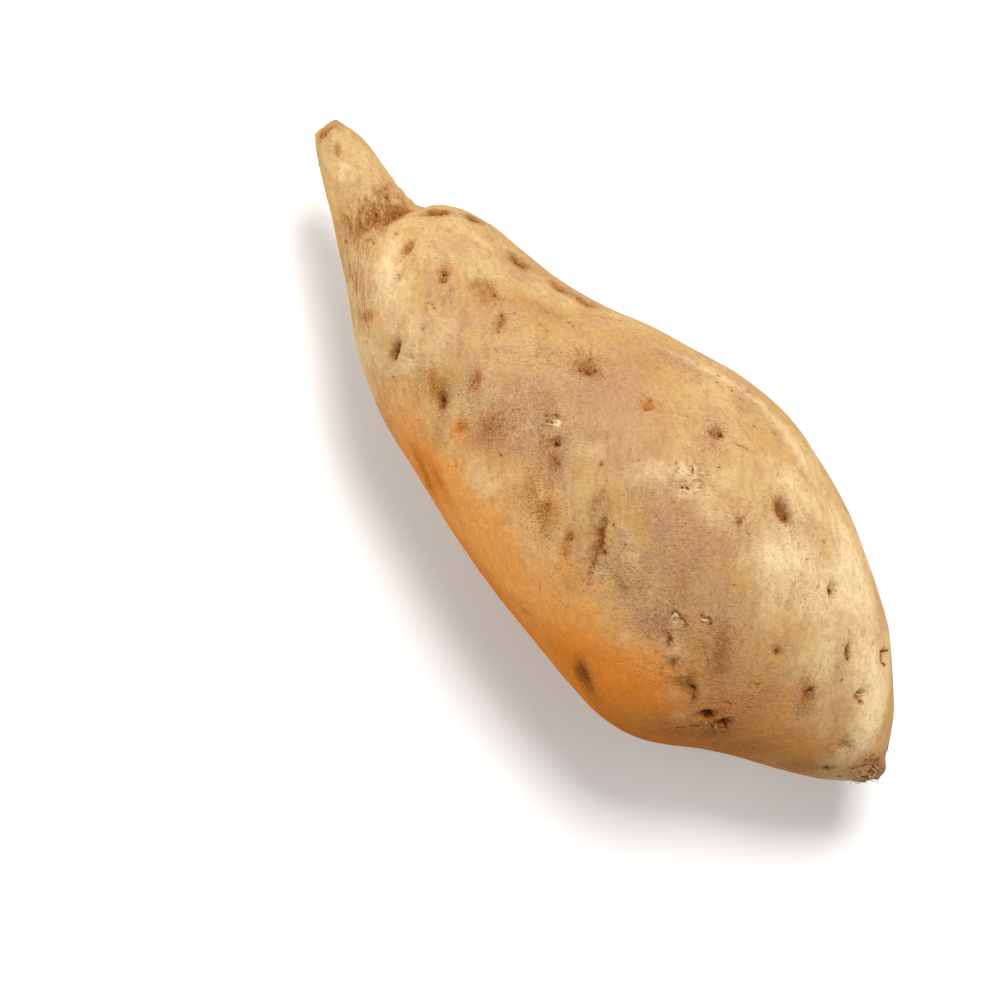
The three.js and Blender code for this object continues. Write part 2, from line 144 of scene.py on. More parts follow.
# Patches of colour, rough grain and streaks on the upper side, each soft at its edge:
# along, across, length, width, turn of the length, strength
PATCHES = {
    "brown": [
        (28.7, 1.4, 5, 2, 80, 0.85), (27.6, -1.4, 6, 4, 80, 0.85), (26.8, -4, 7, 5.5, 75, 0.8),
        (25, -6.6, 7, 6.5, 80, 0.75), (24.6, -9.8, 6, 5, 80, 0.45), (26.4, -12.8, 6, 3, 75, 0.2),
        (29, -6.5, 3.4, 2.6, 0, 0.5), (7, -2.1, 3, 1.6, 140, 0.5), (9.6, 3.2, 8, 1.6, 15, 0.35),
        (0.5, 0.7, 3, 2, 90, 0.9), (2.1, -3.1, 3.4, 2, 90, 0.9), (32, -17.5, 13, 5, 140, 0.35),
        (40, -21.5, 13, 5, 120, 0.4), (29, -19.2, 12, 2.4, 150, 0.6), (36, -23.6, 11, 2.6, 150, 0.5),
        (43.1, -22, 7, 2.6, 75, 0.8), (56.3, 2.6, 11, 8, 0, 0.75), (37.2, -4.8, 4.4, 2, 115, 0.9),
        (34.7, -19, 6, 2.4, 150, 0.6), (64.6, 9.4, 10, 7, 30, 0.35), (34.4, 6.2, 8, 4.4, 55, 1),
        (40.7, 11.9, 5.4, 4.4, 40, 1), (65.5, -20.4, 10, 5.5, 140, 0.75), (69.6, -19.8, 6, 4, 140, 0.5),
        (71.6, -12.2, 5, 1.8, 115, 0.5), (57.1, -20.4, 2.4, 1.6, 0, 0.7), (82, -16.5, 11, 8, 140, 0.55),
        (82, -20, 13, 5.5, 88, 0.42), (79, -35.8, 14, 5, 165, 0.6), (83.5, -34.4, 15, 5, 168, 0.4),
        (84, -37.5, 9, 5, 170, 0.4), (86.5, -3.4, 8, 4, 140, 0.5), (92.4, -9.2, 6, 4, 140, 0.5),
        (97.6, -10.8, 5, 3, 140, 0.75), (75.5, -28, 11, 5, 130, 0.5), (104.1, -19.4, 6, 3.4, 70, 0.7),
        (107, -22, 11, 4, 140, 0.6), (99, -21, 13, 6, 140, 0.4), (97.5, -17.5, 10, 5, 140, 0.35),
        (113, -19.4, 3, 2.2, 120, 0.9), (117.8, -14.6, 11, 2, 123, 0.95),
        (113.6, -12.8, 6, 2, 123, 0.5), (120, -15.8, 5, 2.4, 123, 0.6),
        (121.4, -19.6, 6, 2.4, 115, 0.5), (110.6, -9.3, 9, 2.2, 115, 0.5),
        (129.8, -17.2, 5, 3.4, 0, 0.6), (100.3, 2.5, 4, 2, 50, 0.6), (105, -2.8, 2, 1.4, 140, 0.6),
        (138.5, -6.5, 9, 2.8, 140, 0.55), (145.6, -16.7, 4.4, 2.4, 140, 0.75),
        (144.4, -11.4, 3.4, 2.6, 0, 0.5), (156, -10, 13, 5, 140, 0.7), (151, -13, 6, 2.6, 140, 0.5),
        (155.5, -20.6, 7, 3.6, 50, 0.6), (159.5, -20.4, 6, 3, 140, 0.65), (170.6, -22, 9, 5, 50, 0.7),
        (168, -20.8, 12, 5, 50, 0.4), (166, -28, 26, 12, 0, 0.35), (71, 11.4, 11, 7, 30, 0.5),
        (178, -19, 20, 9, 45, 0.3), (192, -9, 14, 7, 50, 0.3), (160, -15, 18, 9, 50, 0.3),
        (86, 8.6, 8, 6, 20, 0.55), (87.4, 9.6, 3.4, 2.4, 60, 0.5), (116.6, 22, 6, 4, 60, 0.4),
        (140, 22.2, 6, 3.6, 167, 0.8), (128.5, 23.3, 1.1, 0.9, 140, 0.9),
        (101.6, 13.8, 3.8, 2.6, 30, 0.6), (119.8, -38.4, 6, 2.6, 30, 0.5),
        (141, -37.3, 17, 5.6, 140, 0.5), (55.6, 13.8, 7, 5, 12, 1), (66.9, 17, 6, 5, 15, 1),
        (73.5, 19.2, 7, 5, 30, 0.95), (178, -1.2, 7, 4, 120, 0.5), (174, 1, 8, 4, 140, 0.5),
        # The four large brown patches from 156 to 190 along on the near side are painted shade along the
        # lower edge towards the root end.
        (156, -39, 24, 24, 0, 0.45), (168, -32, 22, 24, 0, 0.65), (179, -23, 20, 22, 0, 0.5),
        (190, -15, 16, 18, 0, 0.4), (203.6, 2, 4, 5, 0, 0.8), (201.6, 2.6, 5, 3.4, 50, 0.7),
        (199.4, -1.2, 6, 2, 50, 0.5), (100, -14, 9, 5, 140, 0.4), (94, 20, 12, 8, 30, 0.3),
        (118, 31, 16, 5, 5, 0.3), (124, -12, 7, 5, 50, 0.2), (156.3, -19.6, 7, 3.4, 100, 0.4),
        (107.9, -19.6, 9, 6, 140, 0.4), (55, -12, 8, 5, 40, 0.25), (152, -6, 9, 3, 140, 0.4),
    ],
    # The amber patches are painted shade and painted reflected orange light on the near flank and along
    # its lower edge.
    "painted_glow_and_shade": [
        (66, -37, 18, 18, 0, 0.35), (80, -39, 22, 24, 0, 0.75), (96, -41, 26, 20, 0, 0.65),
        (110, -42, 28, 22, 0, 0.9), (128, -42, 30, 27, 0, 1), (146, -42, 28, 32, 0, 1),
        (160, -39, 22, 30, 0, 1), (170, -30, 26, 26, 0, 0.85), (182, -21, 24, 22, 0, 0.65),
        (193, -13, 18, 16, 0, 0.4), (138, -32, 26, 16, 25, 0.45), (152, -30, 22, 16, 30, 0.36),
        (158, -28, 26, 16, 20, 0.34), (166, -17, 26, 16, 40, 0.35), (180, -13, 28, 16, 20, 0.4),
        (175, -4, 20, 12, 50, 0.3), (190, -6, 16, 12, 40, 0.25), (74, -33, 14, 9, 40, 0.25),
        (146, -20, 28, 20, 50, 0.24), (158, -8, 26, 16, 50, 0.2), (134, -14, 24, 14, 50, 0.12),
        (79, -35.6, 15, 6, 165, 0.6), (83.5, -34.4, 16, 7, 168, 0.6), (138, -37.5, 28, 12, 0, 0.5),
        (77, -23.2, 6.5, 3.4, 118, 0.6),
    ],
    # The large orange patches along the near flank are painted orange light reflected onto it; the small
    # ones round eyes and spots are the skin's own orange.
    "orange_and_painted_glow": [
        (37.2, -5, 4.4, 1.8, 115, 0.8), (46.8, -1, 4.4, 1.8, 115, 0.6), (77.5, -22, 8, 4.5, 118, 0.5),
        (71.6, -12.3, 5, 1.6, 115, 0.6), (101.3, 14.1, 4.2, 3.4, 0, 0.6),
        (114.6, -22.4, 7.5, 2.4, 130, 0.3), (117.4, -25.1, 2.6, 1.8, 140, 0.8),
        (84, -36, 34, 24, 0, 0.8), (108, -37, 40, 22, 0, 0.8), (136, -36, 40, 26, 0, 0.9),
        (149, -29, 26, 18, 25, 0.7), (70, -32, 24, 20, 0, 0.35), (44, -29, 22, 10, 30, 0.3),
        (57, -32, 20, 14, 30, 0.25), (145, -25, 18, 12, 0, 0.35), (20, -14, 30, 10, 155, 0.3),
        (92, -27, 34, 20, 0, 0.34), (119, -27, 36, 20, 0, 0.28), (129, -27, 5, 4, 0, 0.4),
        (100, -18, 30, 14, 0, 0.25), (130.7, 33.2, 3.2, 2, 0, 0.7), (150, 34.6, 10, 1.4, 175, 0.4),
        (176.8, 15.1, 2.4, 1.4, 140, 0.7), (168, -27, 16, 6, 50, 0.35), (117.6, -13.8, 9, 3, 123, 0.6),
        (55.7, 14, 3, 2, 12, 0.7), (66.5, 17.3, 4, 2.4, 15, 0.8), (62, 9, 20, 10, 20, 0.12),
        (44, -22, 14, 6, 75, 0.3), (66, -20.5, 9, 5, 140, 0.5), (105, -19.8, 8, 5, 100, 0.35),
        (62, -27, 22, 12, 0, 0.12), (127, -23, 18, 8, 0, 0.15), (2.1, -3, 3, 2, 90, 0.5),
    ],
    "mauve": [
        (83, -6, 20, 15, 50, 0.8), (88, -12, 20, 14, 90, 0.8), (97, -10, 10, 7, 140, 0.9),
        (126, -3, 26, 9, 140, 0.8), (134, 1, 24, 10, 140, 0.75), (136, -7, 18, 8, 140, 0.6),
        (141, -16, 18, 9, 50, 0.8), (167, -14.8, 22, 5, 50, 0.8), (155, -8, 18, 5, 140, 0.7),
        (146, -2, 20, 4, 140, 0.5), (60, -3, 16, 9, 40, 0.5), (80, -19, 12, 6, 50, 0.4),
        (100, -13, 12, 8, 140, 0.6), (92, 6, 14, 8, 30, 0.35), (93, 12, 22, 16, 20, 0.7),
        (100, 1, 14, 9, 50, 0.5), (113, 25, 14, 9, 10, 0.4), (139, 10, 14, 9, 50, 0.4),
        (112, 3, 14, 8, 50, 0.3), (156, -9, 18, 8, 140, 0.8), (116, 21.6, 6, 5, 60, 0.6),
        (178.6, -2, 9, 5, 140, 0.9), (176, 11.4, 8, 5, 140, 0.8), (124, -17.6, 9, 7, 50, 0.6),
        (35, 7, 10, 4, 50, 0.7), (150, 2, 26, 8, 50, 0.3), (108, 4, 18, 10, 50, 0.3),
        (170, -12, 20, 10, 50, 0.5), (168, -18, 16, 8, 50, 0.6), (185, 1, 16, 13, 140, 0.5),
        (12, -5.5, 7, 4, 140, 0.4), (5, -3, 7, 5, 140, 0.5), (99, 8, 28, 13, 0, 0.5),
        (96, 26, 34, 9, 12, 0.45), (44, 6, 14, 7, 30, 0.45), (123, 13, 16, 9, 50, 0.35),
        (28.5, -1, 6, 3, 80, 0.6), (72, -2, 16, 9, 50, 0.4), (72, -15, 18, 10, 50, 0.5),
        (84, -20, 12, 8, 88, 0.5), (114, 3, 16, 9, 50, 0.35), (133, 10, 14, 8, 50, 0.45),
        (91, 19, 15, 9, 20, 0.4), (118, 9, 12, 8, 50, 0.35),
    ],
    # The pale patches are partly pale skin and scabs and partly painted highlight: the long ones along
    # the far edge, those on the far side towards the root end and those on the near side of the neck and
    # shoulder stand in for light.
    "pale": [
        (38, -12, 24, 9, 140, 0.65), (46, -14, 20, 10, 140, 0.35), (54, -17, 16, 9, 140, 0.4),
        (56, -25, 18, 9, 60, 0.45), (61, -15, 12, 6, 140, 0.4), (70, -25, 14, 6, 140, 0.4),
        (54, -10, 10, 6, 140, 0.35), (113, 5, 16, 8, 50, 0.35), (119, 12, 16, 9, 50, 0.3),
        (114.3, -11.4, 7, 3, 120, 0.2), (126, -12, 14, 6, 140, 0.4), (122, -18, 8, 5, 140, 0.4),
        (154, 6, 22, 10, 140, 0.4), (162, 16, 22, 12, 140, 0.5), (160, 25, 14, 8, 140, 0.6),
        (134, 27.5, 14, 8, 20, 0.35), (125.4, 16.3, 10, 7, 50, 0.35), (157, -24, 14, 6, 50, 0.35),
        (88, -25, 12, 7, 0, 0.3), (77, -27, 12, 5, 140, 0.3), (148, -17, 12, 7, 140, 0.45),
        (30, -15, 12, 8, 60, 0.4), (36, -22, 14, 10, 60, 0.4), (46, -28, 16, 11, 60, 0.5),
        (56, -33, 16, 11, 60, 0.45), (87, -27, 20, 12, 0, 0.2), (92, -25, 14, 6, 80, 0.25),
        (140, 29, 22, 10, 0, 0.4), (153, 19, 18, 10, 50, 0.4), (160, 13, 14, 9, 50, 0.4),
        (166, 22, 20, 9, 50, 0.5), (190, 14, 26, 9, 130, 0.6), (116, -12, 18, 12, 50, 0.3),
        (100, -3, 14, 8, 50, 0.35), (140, -24, 14, 9, 50, 0.4), (162, -26, 10, 6, 50, 0.4),
        (188, 13, 18, 9, 140, 0.75), (195, 6, 12, 8, 140, 0.6), (195, -4, 12, 7, 50, 0.4),
        (88, -14, 8, 5, 140, 0.35), (118, 24, 18, 10, 0, 0.35), (130, 22, 14, 9, 0, 0.15),
        (180, 14, 34, 12, 160, 0.6), (186, -2, 14, 6, 140, 0.3), (48, -29, 18, 8, 60, 0.3),
        (104, -27, 20, 9, 0, 0.3), (116, -25, 14, 8, 20, 0.25), (90, -28, 12, 6, 0, 0.25),
        (91.2, -5.2, 2.2, 1.7, 140, 0.9), (88, -9.4, 4, 3, 140, 0.5), (118.5, 10.5, 4, 2.8, 140, 0.65),
        (122.9, 7.6, 6, 3, 50, 0.6), (127, 10, 10, 7, 140, 0.4), (132, 13, 16, 10, 50, 0.25),
        (147, 18, 24, 14, 140, 0.6), (162, 28, 30, 11, 175, 0.75), (145, 12, 16, 10, 50, 0.5),
        (112.1, -20.8, 1.8, 1.2, 115, 0.6), (163.8, 1.4, 2.4, 0.5, 140, 0.5),
        (124.3, -19, 3.6, 2.4, 50, 0.5), (173, 9, 14, 6, 140, 0.5), (182, 17, 14, 6, 140, 0.5),
        (144.4, -12.6, 3.6, 1.8, 50, 0.5), (59, -9, 10, 7, 115, 0.3), (11.6, -4.4, 6, 1.8, 140, 0.4),
        (29.6, 1, 9, 1.2, 80, 0.4), (105, 31, 44, 6, 12, 0.5), (130, 35, 28, 6, -5, 0.6),
        (46, 10, 12, 4, 15, 0.4), (12, -5, 14, 6, 10, 0.4), (64, 2, 10, 6, 50, 0.3),
        (4.5, -0.4, 5, 2.4, 0, 0.5), (115, 4, 14, 8, 50, 0.3), (133, 11, 12, 7, 50, 0.25),
        (112, 15, 12, 7, 20, 0.25), (80, -9, 9, 5, 20, 0.35),
    ],
    "tan": [
        (74, 9, 44, 20, 15, 0.5), (98, 15, 44, 26, 12, 0.5), (122, 22, 36, 20, 0, 0.45),
        (112, 8, 24, 14, 0, 0.4), (142, 18, 20, 14, 50, 0.4), (116, -16, 12, 10, 50, 0.4),
        (92, -2, 20, 12, 0, 0.2), (137, 30, 24, 12, 0, 0.35), (42, 8, 24, 14, 30, 0.2),
        (152, -16, 44, 28, 0, 0.5), (176, -14, 36, 24, -30, 0.7), (168, -28, 36, 16, 30, 0.7),
        (196, -4, 18, 16, 0, 0.5), (58, -28, 26, 12, 0, 0.3), (108, -6, 40, 24, 0, 0.25),
        (30, -10, 18, 16, 80, 0.3), (140, -30, 24, 14, 0, 0.3), (160, 0, 24, 14, 0, 0.25),
        (182, -16, 30, 14, 40, 0.5), (99, -20, 30, 12, 0, 0.2),
    ],
    "grain": [
        (86, 8.8, 11, 9, 0, 0.9), (83.5, -14.4, 14, 12, 0, 1), (89, -8, 18, 15, 0, 0.8),
        (121, 11, 11, 9, 50, 0.9), (124, -18, 10, 9, 0, 1), (142, -15, 18, 12, 50, 1),
        (154, -8, 14, 9, 140, 0.9), (71.6, -16, 11, 11, 0, 0.8), (104, -21, 16, 10, 140, 1),
        (167, -20, 18, 8, 50, 1), (168, -10, 26, 12, 50, 0.8), (116.5, 22, 10, 7, 0, 0.9),
        (135.5, 13, 10, 8, 0, 0.8), (178, -1, 9, 6, 140, 0.8), (98, 27, 26, 7, 15, 0.7),
        (202, 1, 9, 10, 0, 1), (26, -7, 10, 14, 0, 0.8), (140, 22, 12, 9, 167, 0.6),
        (113, -10, 10, 6, 115, 0.6), (129, -13, 12, 10, 0, 0.8), (58, 4, 10, 8, 0, 0.5),
        (97, -11, 9, 7, 140, 0.8), (157, 14, 14, 9, 50, 0.6), (130, -2, 26, 18, 0, 0.6),
        (76, 4, 20, 14, 30, 0.5), (168, -26, 20, 9, 50, 0.7), (150, 22, 14, 8, 50, 0.4),
        (182, -12, 16, 8, 50, 0.5), (64, -21, 12, 9, 0, 0.7), (150, -24, 20, 10, 50, 0.6),
    ],
    "streak": [
        (24.5, -6.5, 10, 11, 0, 0.8), (32, -17.5, 18, 10, 150, 1), (42, -23, 14, 8, 130, 1),
        (30, -12, 8, 6, 0, 0.6),
    ],
}

# Small dark dots on the upper side: along, across, diameter, darkness
DOTS = [
    (11.4, -5.1, 0.9, 0.4), (9, -7.4, 0.8, 0.4), (15.6, -0.5, 0.7, 0.4), (25.5, -15.2, 1, 0.8),
    (28, -1.8, 2, 0.5), (0.6, -1.4, 1.4, 0.9), (55.4, 13.7, 2.2, 1), (56.8, 14, 1.4, 0.8),
    (67, 16.9, 2, 0.8), (73.6, 19.1, 2.2, 0.7), (72.5, 19, 1.4, 0.6), (34.9, 6.5, 1.5, 0.9),
    (33.8, 5.2, 1.2, 0.7), (35.8, 7.6, 1.2, 0.7), (40.9, 11.9, 1.5, 0.9), (42, 12.3, 1.2, 0.6),
    (32.3, -4.6, 1.3, 0.5), (35.2, 0.8, 0.7, 0.5), (37.1, 4.1, 0.6, 0.5), (39.2, 5.4, 0.6, 0.4),
    (50.3, -9.6, 0.7, 0.6), (51.2, -9, 0.7, 0.7), (52.3, -9.3, 0.8, 0.7), (58.5, 3.6, 1, 0.7),
    (54.3, -14.7, 0.9, 0.6), (70.9, 7.1, 0.8, 0.6), (73.5, 7.3, 0.9, 0.7), (74.8, 12.4, 0.7, 0.7),
    (79.1, 13, 0.9, 0.6), (75.8, 3.6, 0.7, 0.7), (79.1, 6.2, 0.6, 0.8), (96.6, 21.4, 0.9, 0.4),
    (107, 32, 1, 0.7), (111.6, 31.8, 0.9, 0.8), (114.1, 35, 0.8, 0.7), (103.4, 32.6, 0.9, 0.6),
    (98.6, 27.5, 0.8, 0.5), (107.6, 30.3, 0.8, 0.6), (114.3, 32, 0.8, 0.6), (99.9, -4.4, 0.6, 0.8),
    (126.3, 3.6, 0.8, 0.5), (117.2, -10, 0.7, 1), (122.8, -11.2, 0.8, 0.6), (122.9, 17.2, 0.8, 0.7),
    (119.6, 14.6, 0.7, 0.7), (88.3, -19.6, 0.8, 0.6), (105, -2.9, 0.8, 0.7), (112, -11.3, 0.9, 0.5),
    (121.2, -15.7, 1.3, 1), (104.1, -18.9, 0.8, 0.9), (113.9, -19.7, 0.7, 0.8),
    (124.1, -23.6, 0.8, 0.7), (125.6, 33, 1.2, 0.7), (123.4, 34.3, 0.7, 0.6), (120.9, 30.2, 0.8, 0.6),
    (137.1, 31.5, 0.8, 0.6), (151.7, 25.3, 0.9, 0.7), (166.2, 25.4, 0.8, 0.7), (158.9, 17.1, 0.7, 0.7),
    (158.8, 11.7, 0.6, 0.6), (180.3, 8, 0.9, 0.7), (179.4, 6.4, 0.6, 0.5), (172.5, 17.1, 0.9, 0.6),
    (173.4, 23, 0.9, 0.5), (193, -1.9, 0.8, 0.9), (194.3, 0.2, 0.6, 0.6), (192.6, -4.1, 0.9, 0.4),
    (199.1, -5.9, 0.9, 1), (195.4, -7.4, 1, 0.35), (199.9, 0.9, 1.1, 1), (201.7, 3.1, 1.1, 1),
    (203, 0.1, 1.2, 1), (200.6, 0, 0.8, 0.8), (202.6, 3.4, 0.7, 0.8), (204.6, -0.6, 1, 1),
    (200.9, 2, 0.7, 0.7), (158.3, -19.7, 1, 0.9), (145.7, 2.4, 0.7, 0.8), (157.9, 13.6, 0.6, 0.6),
    (166, -21.7, 1.5, 1), (166.4, -20.6, 1.1, 1), (169.3, -19.5, 1.3, 1), (170.4, -19.4, 1.1, 1),
    (46.9, -2.2, 0.8, 0.9), (48.3, -3.3, 1, 1), (85, 10.4, 0.8, 0.9), (86.6, 8.2, 1.3, 1),
    (87.6, 9.8, 0.8, 0.9), (85.2, 7.4, 0.8, 0.8), (101.9, 13.1, 1, 0.9), (100.9, 15, 0.7, 0.6),
    (141.8, 21.9, 1.5, 1), (138.8, 22.8, 0.9, 0.9), (117.2, 22.6, 1.1, 1), (115.6, 21.4, 0.7, 0.7),
    (186, 9.3, 1.2, 1), (188, 9, 1.2, 1), (164.4, 0.4, 1, 1), (177.3, 0.7, 0.9, 1),
    (94.5, -7.9, 1.1, 0.7), (94, -6.7, 0.7, 0.6), (69.4, -21.7, 1.3, 1), (71, -22.9, 0.9, 0.9),
    (57.6, 0.6, 0.5, 0.5), (65.9, -1.2, 0.6, 0.8), (63.4, 1.8, 0.6, 0.8), (162, 19.4, 1.1, 1),
    (135.4, 12.6, 0.9, 0.9), (146.4, -16.4, 0.7, 0.8), (132.5, -22, 0.6, 0.5), (201, -2, 0.9, 1),
    (202.6, 1.2, 1.4, 1), (200.2, 2.6, 1.2, 0.9), (204.2, 1, 1.3, 1), (202.8, -1.6, 1.2, 0.9),
    (198.4, 0.6, 0.7, 0.7), (203.4, -0.8, 0.9, 1),
]

# Cracks on the upper side: their points (along, across), width, depth, darkness
CRACKS = [
    ([(120.3, 23), (121.4, 23.9), (122.8, 24.6), (125.4, 25.6)], 0.26, 0.12, 0.7),
    ([(106.2, 17.5), (108, 18.6), (109.7, 19.2)], 0.24, 0.1, 0.6),
    ([(92.9, 9.4), (95.1, 9.8)], 0.22, 0.1, 0.5), ([(132.6, 27.6), (133.5, 26)], 0.22, 0.1, 0.6),
    ([(88.2, -5.7), (89.3, -3.9)], 0.3, 0.2, 0.9), ([(89.7, -3.9), (90.9, -3.3)], 0.3, 0.25, 0.85),
    ([(89.3, -6.4), (90.2, -5.9)], 0.38, 0.2, 0.8), ([(91.1, -9), (92.1, -10.5)], 0.26, 0.12, 0.6),
    ([(115.3, 10.6), (116.1, 9.9)], 0.28, 0.15, 0.75), ([(116.9, 9.9), (117.2, 9.1)], 0.26, 0.12, 0.65),
    ([(116.8, 12.4), (117.5, 12)], 0.26, 0.12, 0.65),
    ([(118.6, 12.6), (119.6, 11.9)], 0.28, 0.15, 0.75),
    ([(120.4, 7.6), (121, 8.3), (121.9, 8.7)], 0.3, 0.22, 0.85),
    ([(122.4, 11), (123.6, 11)], 0.26, 0.12, 0.55), ([(121.9, 11.9), (123.3, 12.2)], 0.24, 0.1, 0.5),
    ([(96.4, -10.9), (97.6, -10.5)], 0.26, 0.12, 0.6), ([(98.1, -10.9), (99, -10.5)], 0.26, 0.12, 0.5),
    ([(117.2, -13.6), (118.6, -15)], 0.7, 0.3, 0.35), ([(118.9, -15.2), (119.6, -16.4)], 0.5, 0.3, 0.9),
    ([(114.8, -10.8), (116.4, -12.6)], 0.5, 0.15, 0.3),
    ([(120.2, -17.6), (121, -18.8), (121.6, -20.6)], 0.36, 0.15, 0.45),
    ([(122.3, -21.2), (122.9, -22.6)], 0.3, 0.12, 0.35),
    ([(109.5, -5.3), (110.6, -9.3)], 0.5, 0.06, 0.1),
    # The dark lines at the two curled flakes, near 142 and 148 along, are painted shadow under the
    # flakes' raised edges, and grooves as well.
    ([(141.8, -13.7), (141.7, -11.8), (142.7, -11.4)], 0.34, 0.25, 0.65),
    ([(142.9, -11.3), (143.4, -12.2)], 0.3, 0.2, 0.4), ([(144, -16.2), (145.6, -16.2)], 0.28, 0.2, 0.7),
    ([(143.9, -11.6), (145.8, -11.5), (145.6, -12.5)], 0.34, 0.2, 0.5),
    ([(145.9, -16.6), (146.6, -17.8)], 0.4, 0.2, 0.6), ([(146.5, -7.6), (147.7, -7)], 0.4, 0.25, 0.7),
    ([(147.9, -6.7), (149, -7.1), (149.4, -8.2)], 0.4, 0.3, 0.8),
    ([(147.6, -8.8), (148.2, -8)], 0.26, 0.14, 0.7), ([(152, -11.2), (153.4, -12.4)], 0.4, 0.1, 0.45),
    ([(153.8, -12.7), (155, -12.9)], 0.34, 0.1, 0.45),
    ([(155.2, -13), (157.3, -14.7)], 0.18, 0.06, 0.45),
    ([(150.7, -19.3), (151.3, -20.2)], 0.24, 0.08, 0.35),
    ([(153.5, -21.7), (154.8, -19.7)], 0.28, 0.1, 0.5),
    ([(158.2, -19.4), (159, -20), (160.4, -21.2)], 0.26, 0.14, 0.9),
    ([(162.4, -19.1), (164.1, -17.1)], 0.2, 0.1, 0.8),
    ([(165.4, -16.8), (166.5, -15.3)], 0.2, 0.1, 0.8),
    ([(169.6, -13.1), (170.4, -12.1)], 0.2, 0.1, 0.7),
    ([(166.6, -8.3), (167.4, -7.1)], 0.22, 0.12, 0.8),
    ([(165.1, -25.8), (166.6, -24.2)], 0.26, 0.1, 0.7),
    ([(163.7, -28.5), (164.8, -27.2)], 0.26, 0.1, 0.7),
    ([(173.1, -17.8), (174.6, -16)], 0.22, 0.1, 0.7), ([(169, -17.9), (169.9, -16.8)], 0.26, 0.12, 0.9),
    ([(163.6, -23), (165.2, -21.9), (166, -20)], 0.24, 0.15, 0.8),
    ([(167.4, -21.4), (168.6, -20.2), (170.2, -20.6), (171.4, -19)], 0.26, 0.18, 1),
    ([(181.5, 20.1), (183, 19.3), (184.9, 18.7)], 0.5, 0.4, 1),
    ([(182.1, 19.9), (182.8, 21.7)], 0.34, 0.3, 1),
    ([(175.3, 14.6), (176.5, 13.6), (177.6, 12.7)], 0.42, 0.3, 1),
    ([(199.3, -2.6), (201.2, 0.6)], 0.3, 0.15, 0.8), ([(196.5, 4.2), (197.6, 4.2)], 0.3, 0.06, 0.35),
    ([(193.6, 4.8), (195, 4.8)], 0.3, 0.06, 0.3), ([(195.8, 7), (197.2, 6.6)], 0.3, 0.06, 0.35),
    ([(197.8, 7.1), (199, 6)], 0.3, 0.06, 0.35), ([(191, 3.4), (192, 3.2)], 0.26, 0.06, 0.3),
    # The next line lies in the bottom of the fold at the neck's base: its darkness and the brown round
    # it are painted shade in the crease, and its depth is a real groove.
    ([(28.2, -5), (28.1, -3.4), (27.9, -1.2), (28.6, 0.8), (29.3, 2.6)], 0.7, 0.35, 0.45),
    ([(23.3, -1.3), (24.6, -1.7), (25.5, -1.4), (26.5, -0.6), (27.9, 1)], 0.3, 0.15, 0.55),
    ([(21.1, -4.7), (22.8, -5)], 0.3, 0.12, 0.4),
    ([(22.9, -4), (24.9, -4.7), (25.6, -5.7)], 0.36, 0.15, 0.6),
    ([(22.6, -6.6), (24.1, -6.9), (25.3, -6.8)], 0.34, 0.14, 0.5),
    ([(25.8, -8.1), (26.9, -8.8)], 0.4, 0.12, 0.4),
    ([(24.7, -9.8), (25.9, -10.5), (26.7, -10.1)], 0.34, 0.14, 0.5),
    ([(22.3, -8.4), (23.3, -9.1), (24.4, -9.1)], 0.32, 0.12, 0.4),
    ([(29.6, -12.9), (31.5, -13.2)], 0.3, 0.1, 0.3),
    ([(28.4, -11.5), (29.6, -10.1), (30.8, -10.4)], 0.28, 0.14, 0.65),
    ([(1.6, 2.2), (2.4, 0.4), (2.2, -1.4), (3, -3)], 0.34, 0.25, 0.6),
    ([(83.6, 7.2), (82.2, 6)], 0.2, 0.06, 0.25), ([(84.4, 11), (82.8, 13)], 0.22, 0.06, 0.35),
    ([(86.4, 11.8), (86.8, 13.2)], 0.2, 0.06, 0.3), ([(89, 9.8), (90.8, 10.4)], 0.2, 0.06, 0.3),
    ([(88.4, 7), (89.6, 5.8)], 0.2, 0.06, 0.25), ([(83, 9.2), (80.6, 9.8)], 0.24, 0.06, 0.35),
    ([(145, 1.6), (146.4, 3.2)], 0.16, 0.05, 0.35), ([(145, 3), (146.6, 1.9)], 0.16, 0.05, 0.3),
    ([(107.6, 10), (109.2, 10.8)], 0.2, 0.06, 0.3), ([(53.4, -21.6), (54.6, -24.2)], 0.5, 0.3, 0.5),
    ([(84.2, 22), (86.4, 23)], 0.22, 0.1, 0.6), ([(77.4, 19), (79.4, 20)], 0.22, 0.1, 0.6),
    ([(34.4, 6.2), (35.6, 8.4)], 0.3, 0.15, 0.7),
]

# Pale raised edges of flakes on the upper side: their points (along, across), width, height
FLAKES = [
    ([(142.2, -13.3), (142.1, -12.2), (142.8, -11.9), (143.2, -12.5)], 0.32, 0.3),
    ([(147.2, -8.1), (147.9, -7.5), (148.6, -7.7)], 0.28, 0.25),
    ([(145.1, -12), (145.2, -12.8)], 0.26, 0.2), ([(120.8, 7.1), (121.5, 7.7), (122.4, 8)], 0.32, 0.25),
    ([(117.5, 9.6), (118.8, 9.2)], 0.26, 0.15), ([(119.4, 12.6), (120.2, 11.9)], 0.24, 0.15),
    ([(166.9, -21.6), (168.2, -20.8), (169.6, -21.2)], 0.3, 0.3),
    ([(90.4, -6.5), (91.7, -5.2), (91.5, -4.2)], 0.28, 0.25),
    ([(153.6, -19.4), (155.2, -19)], 0.24, 0.12),
]
FLAKE_PALE = 0.9

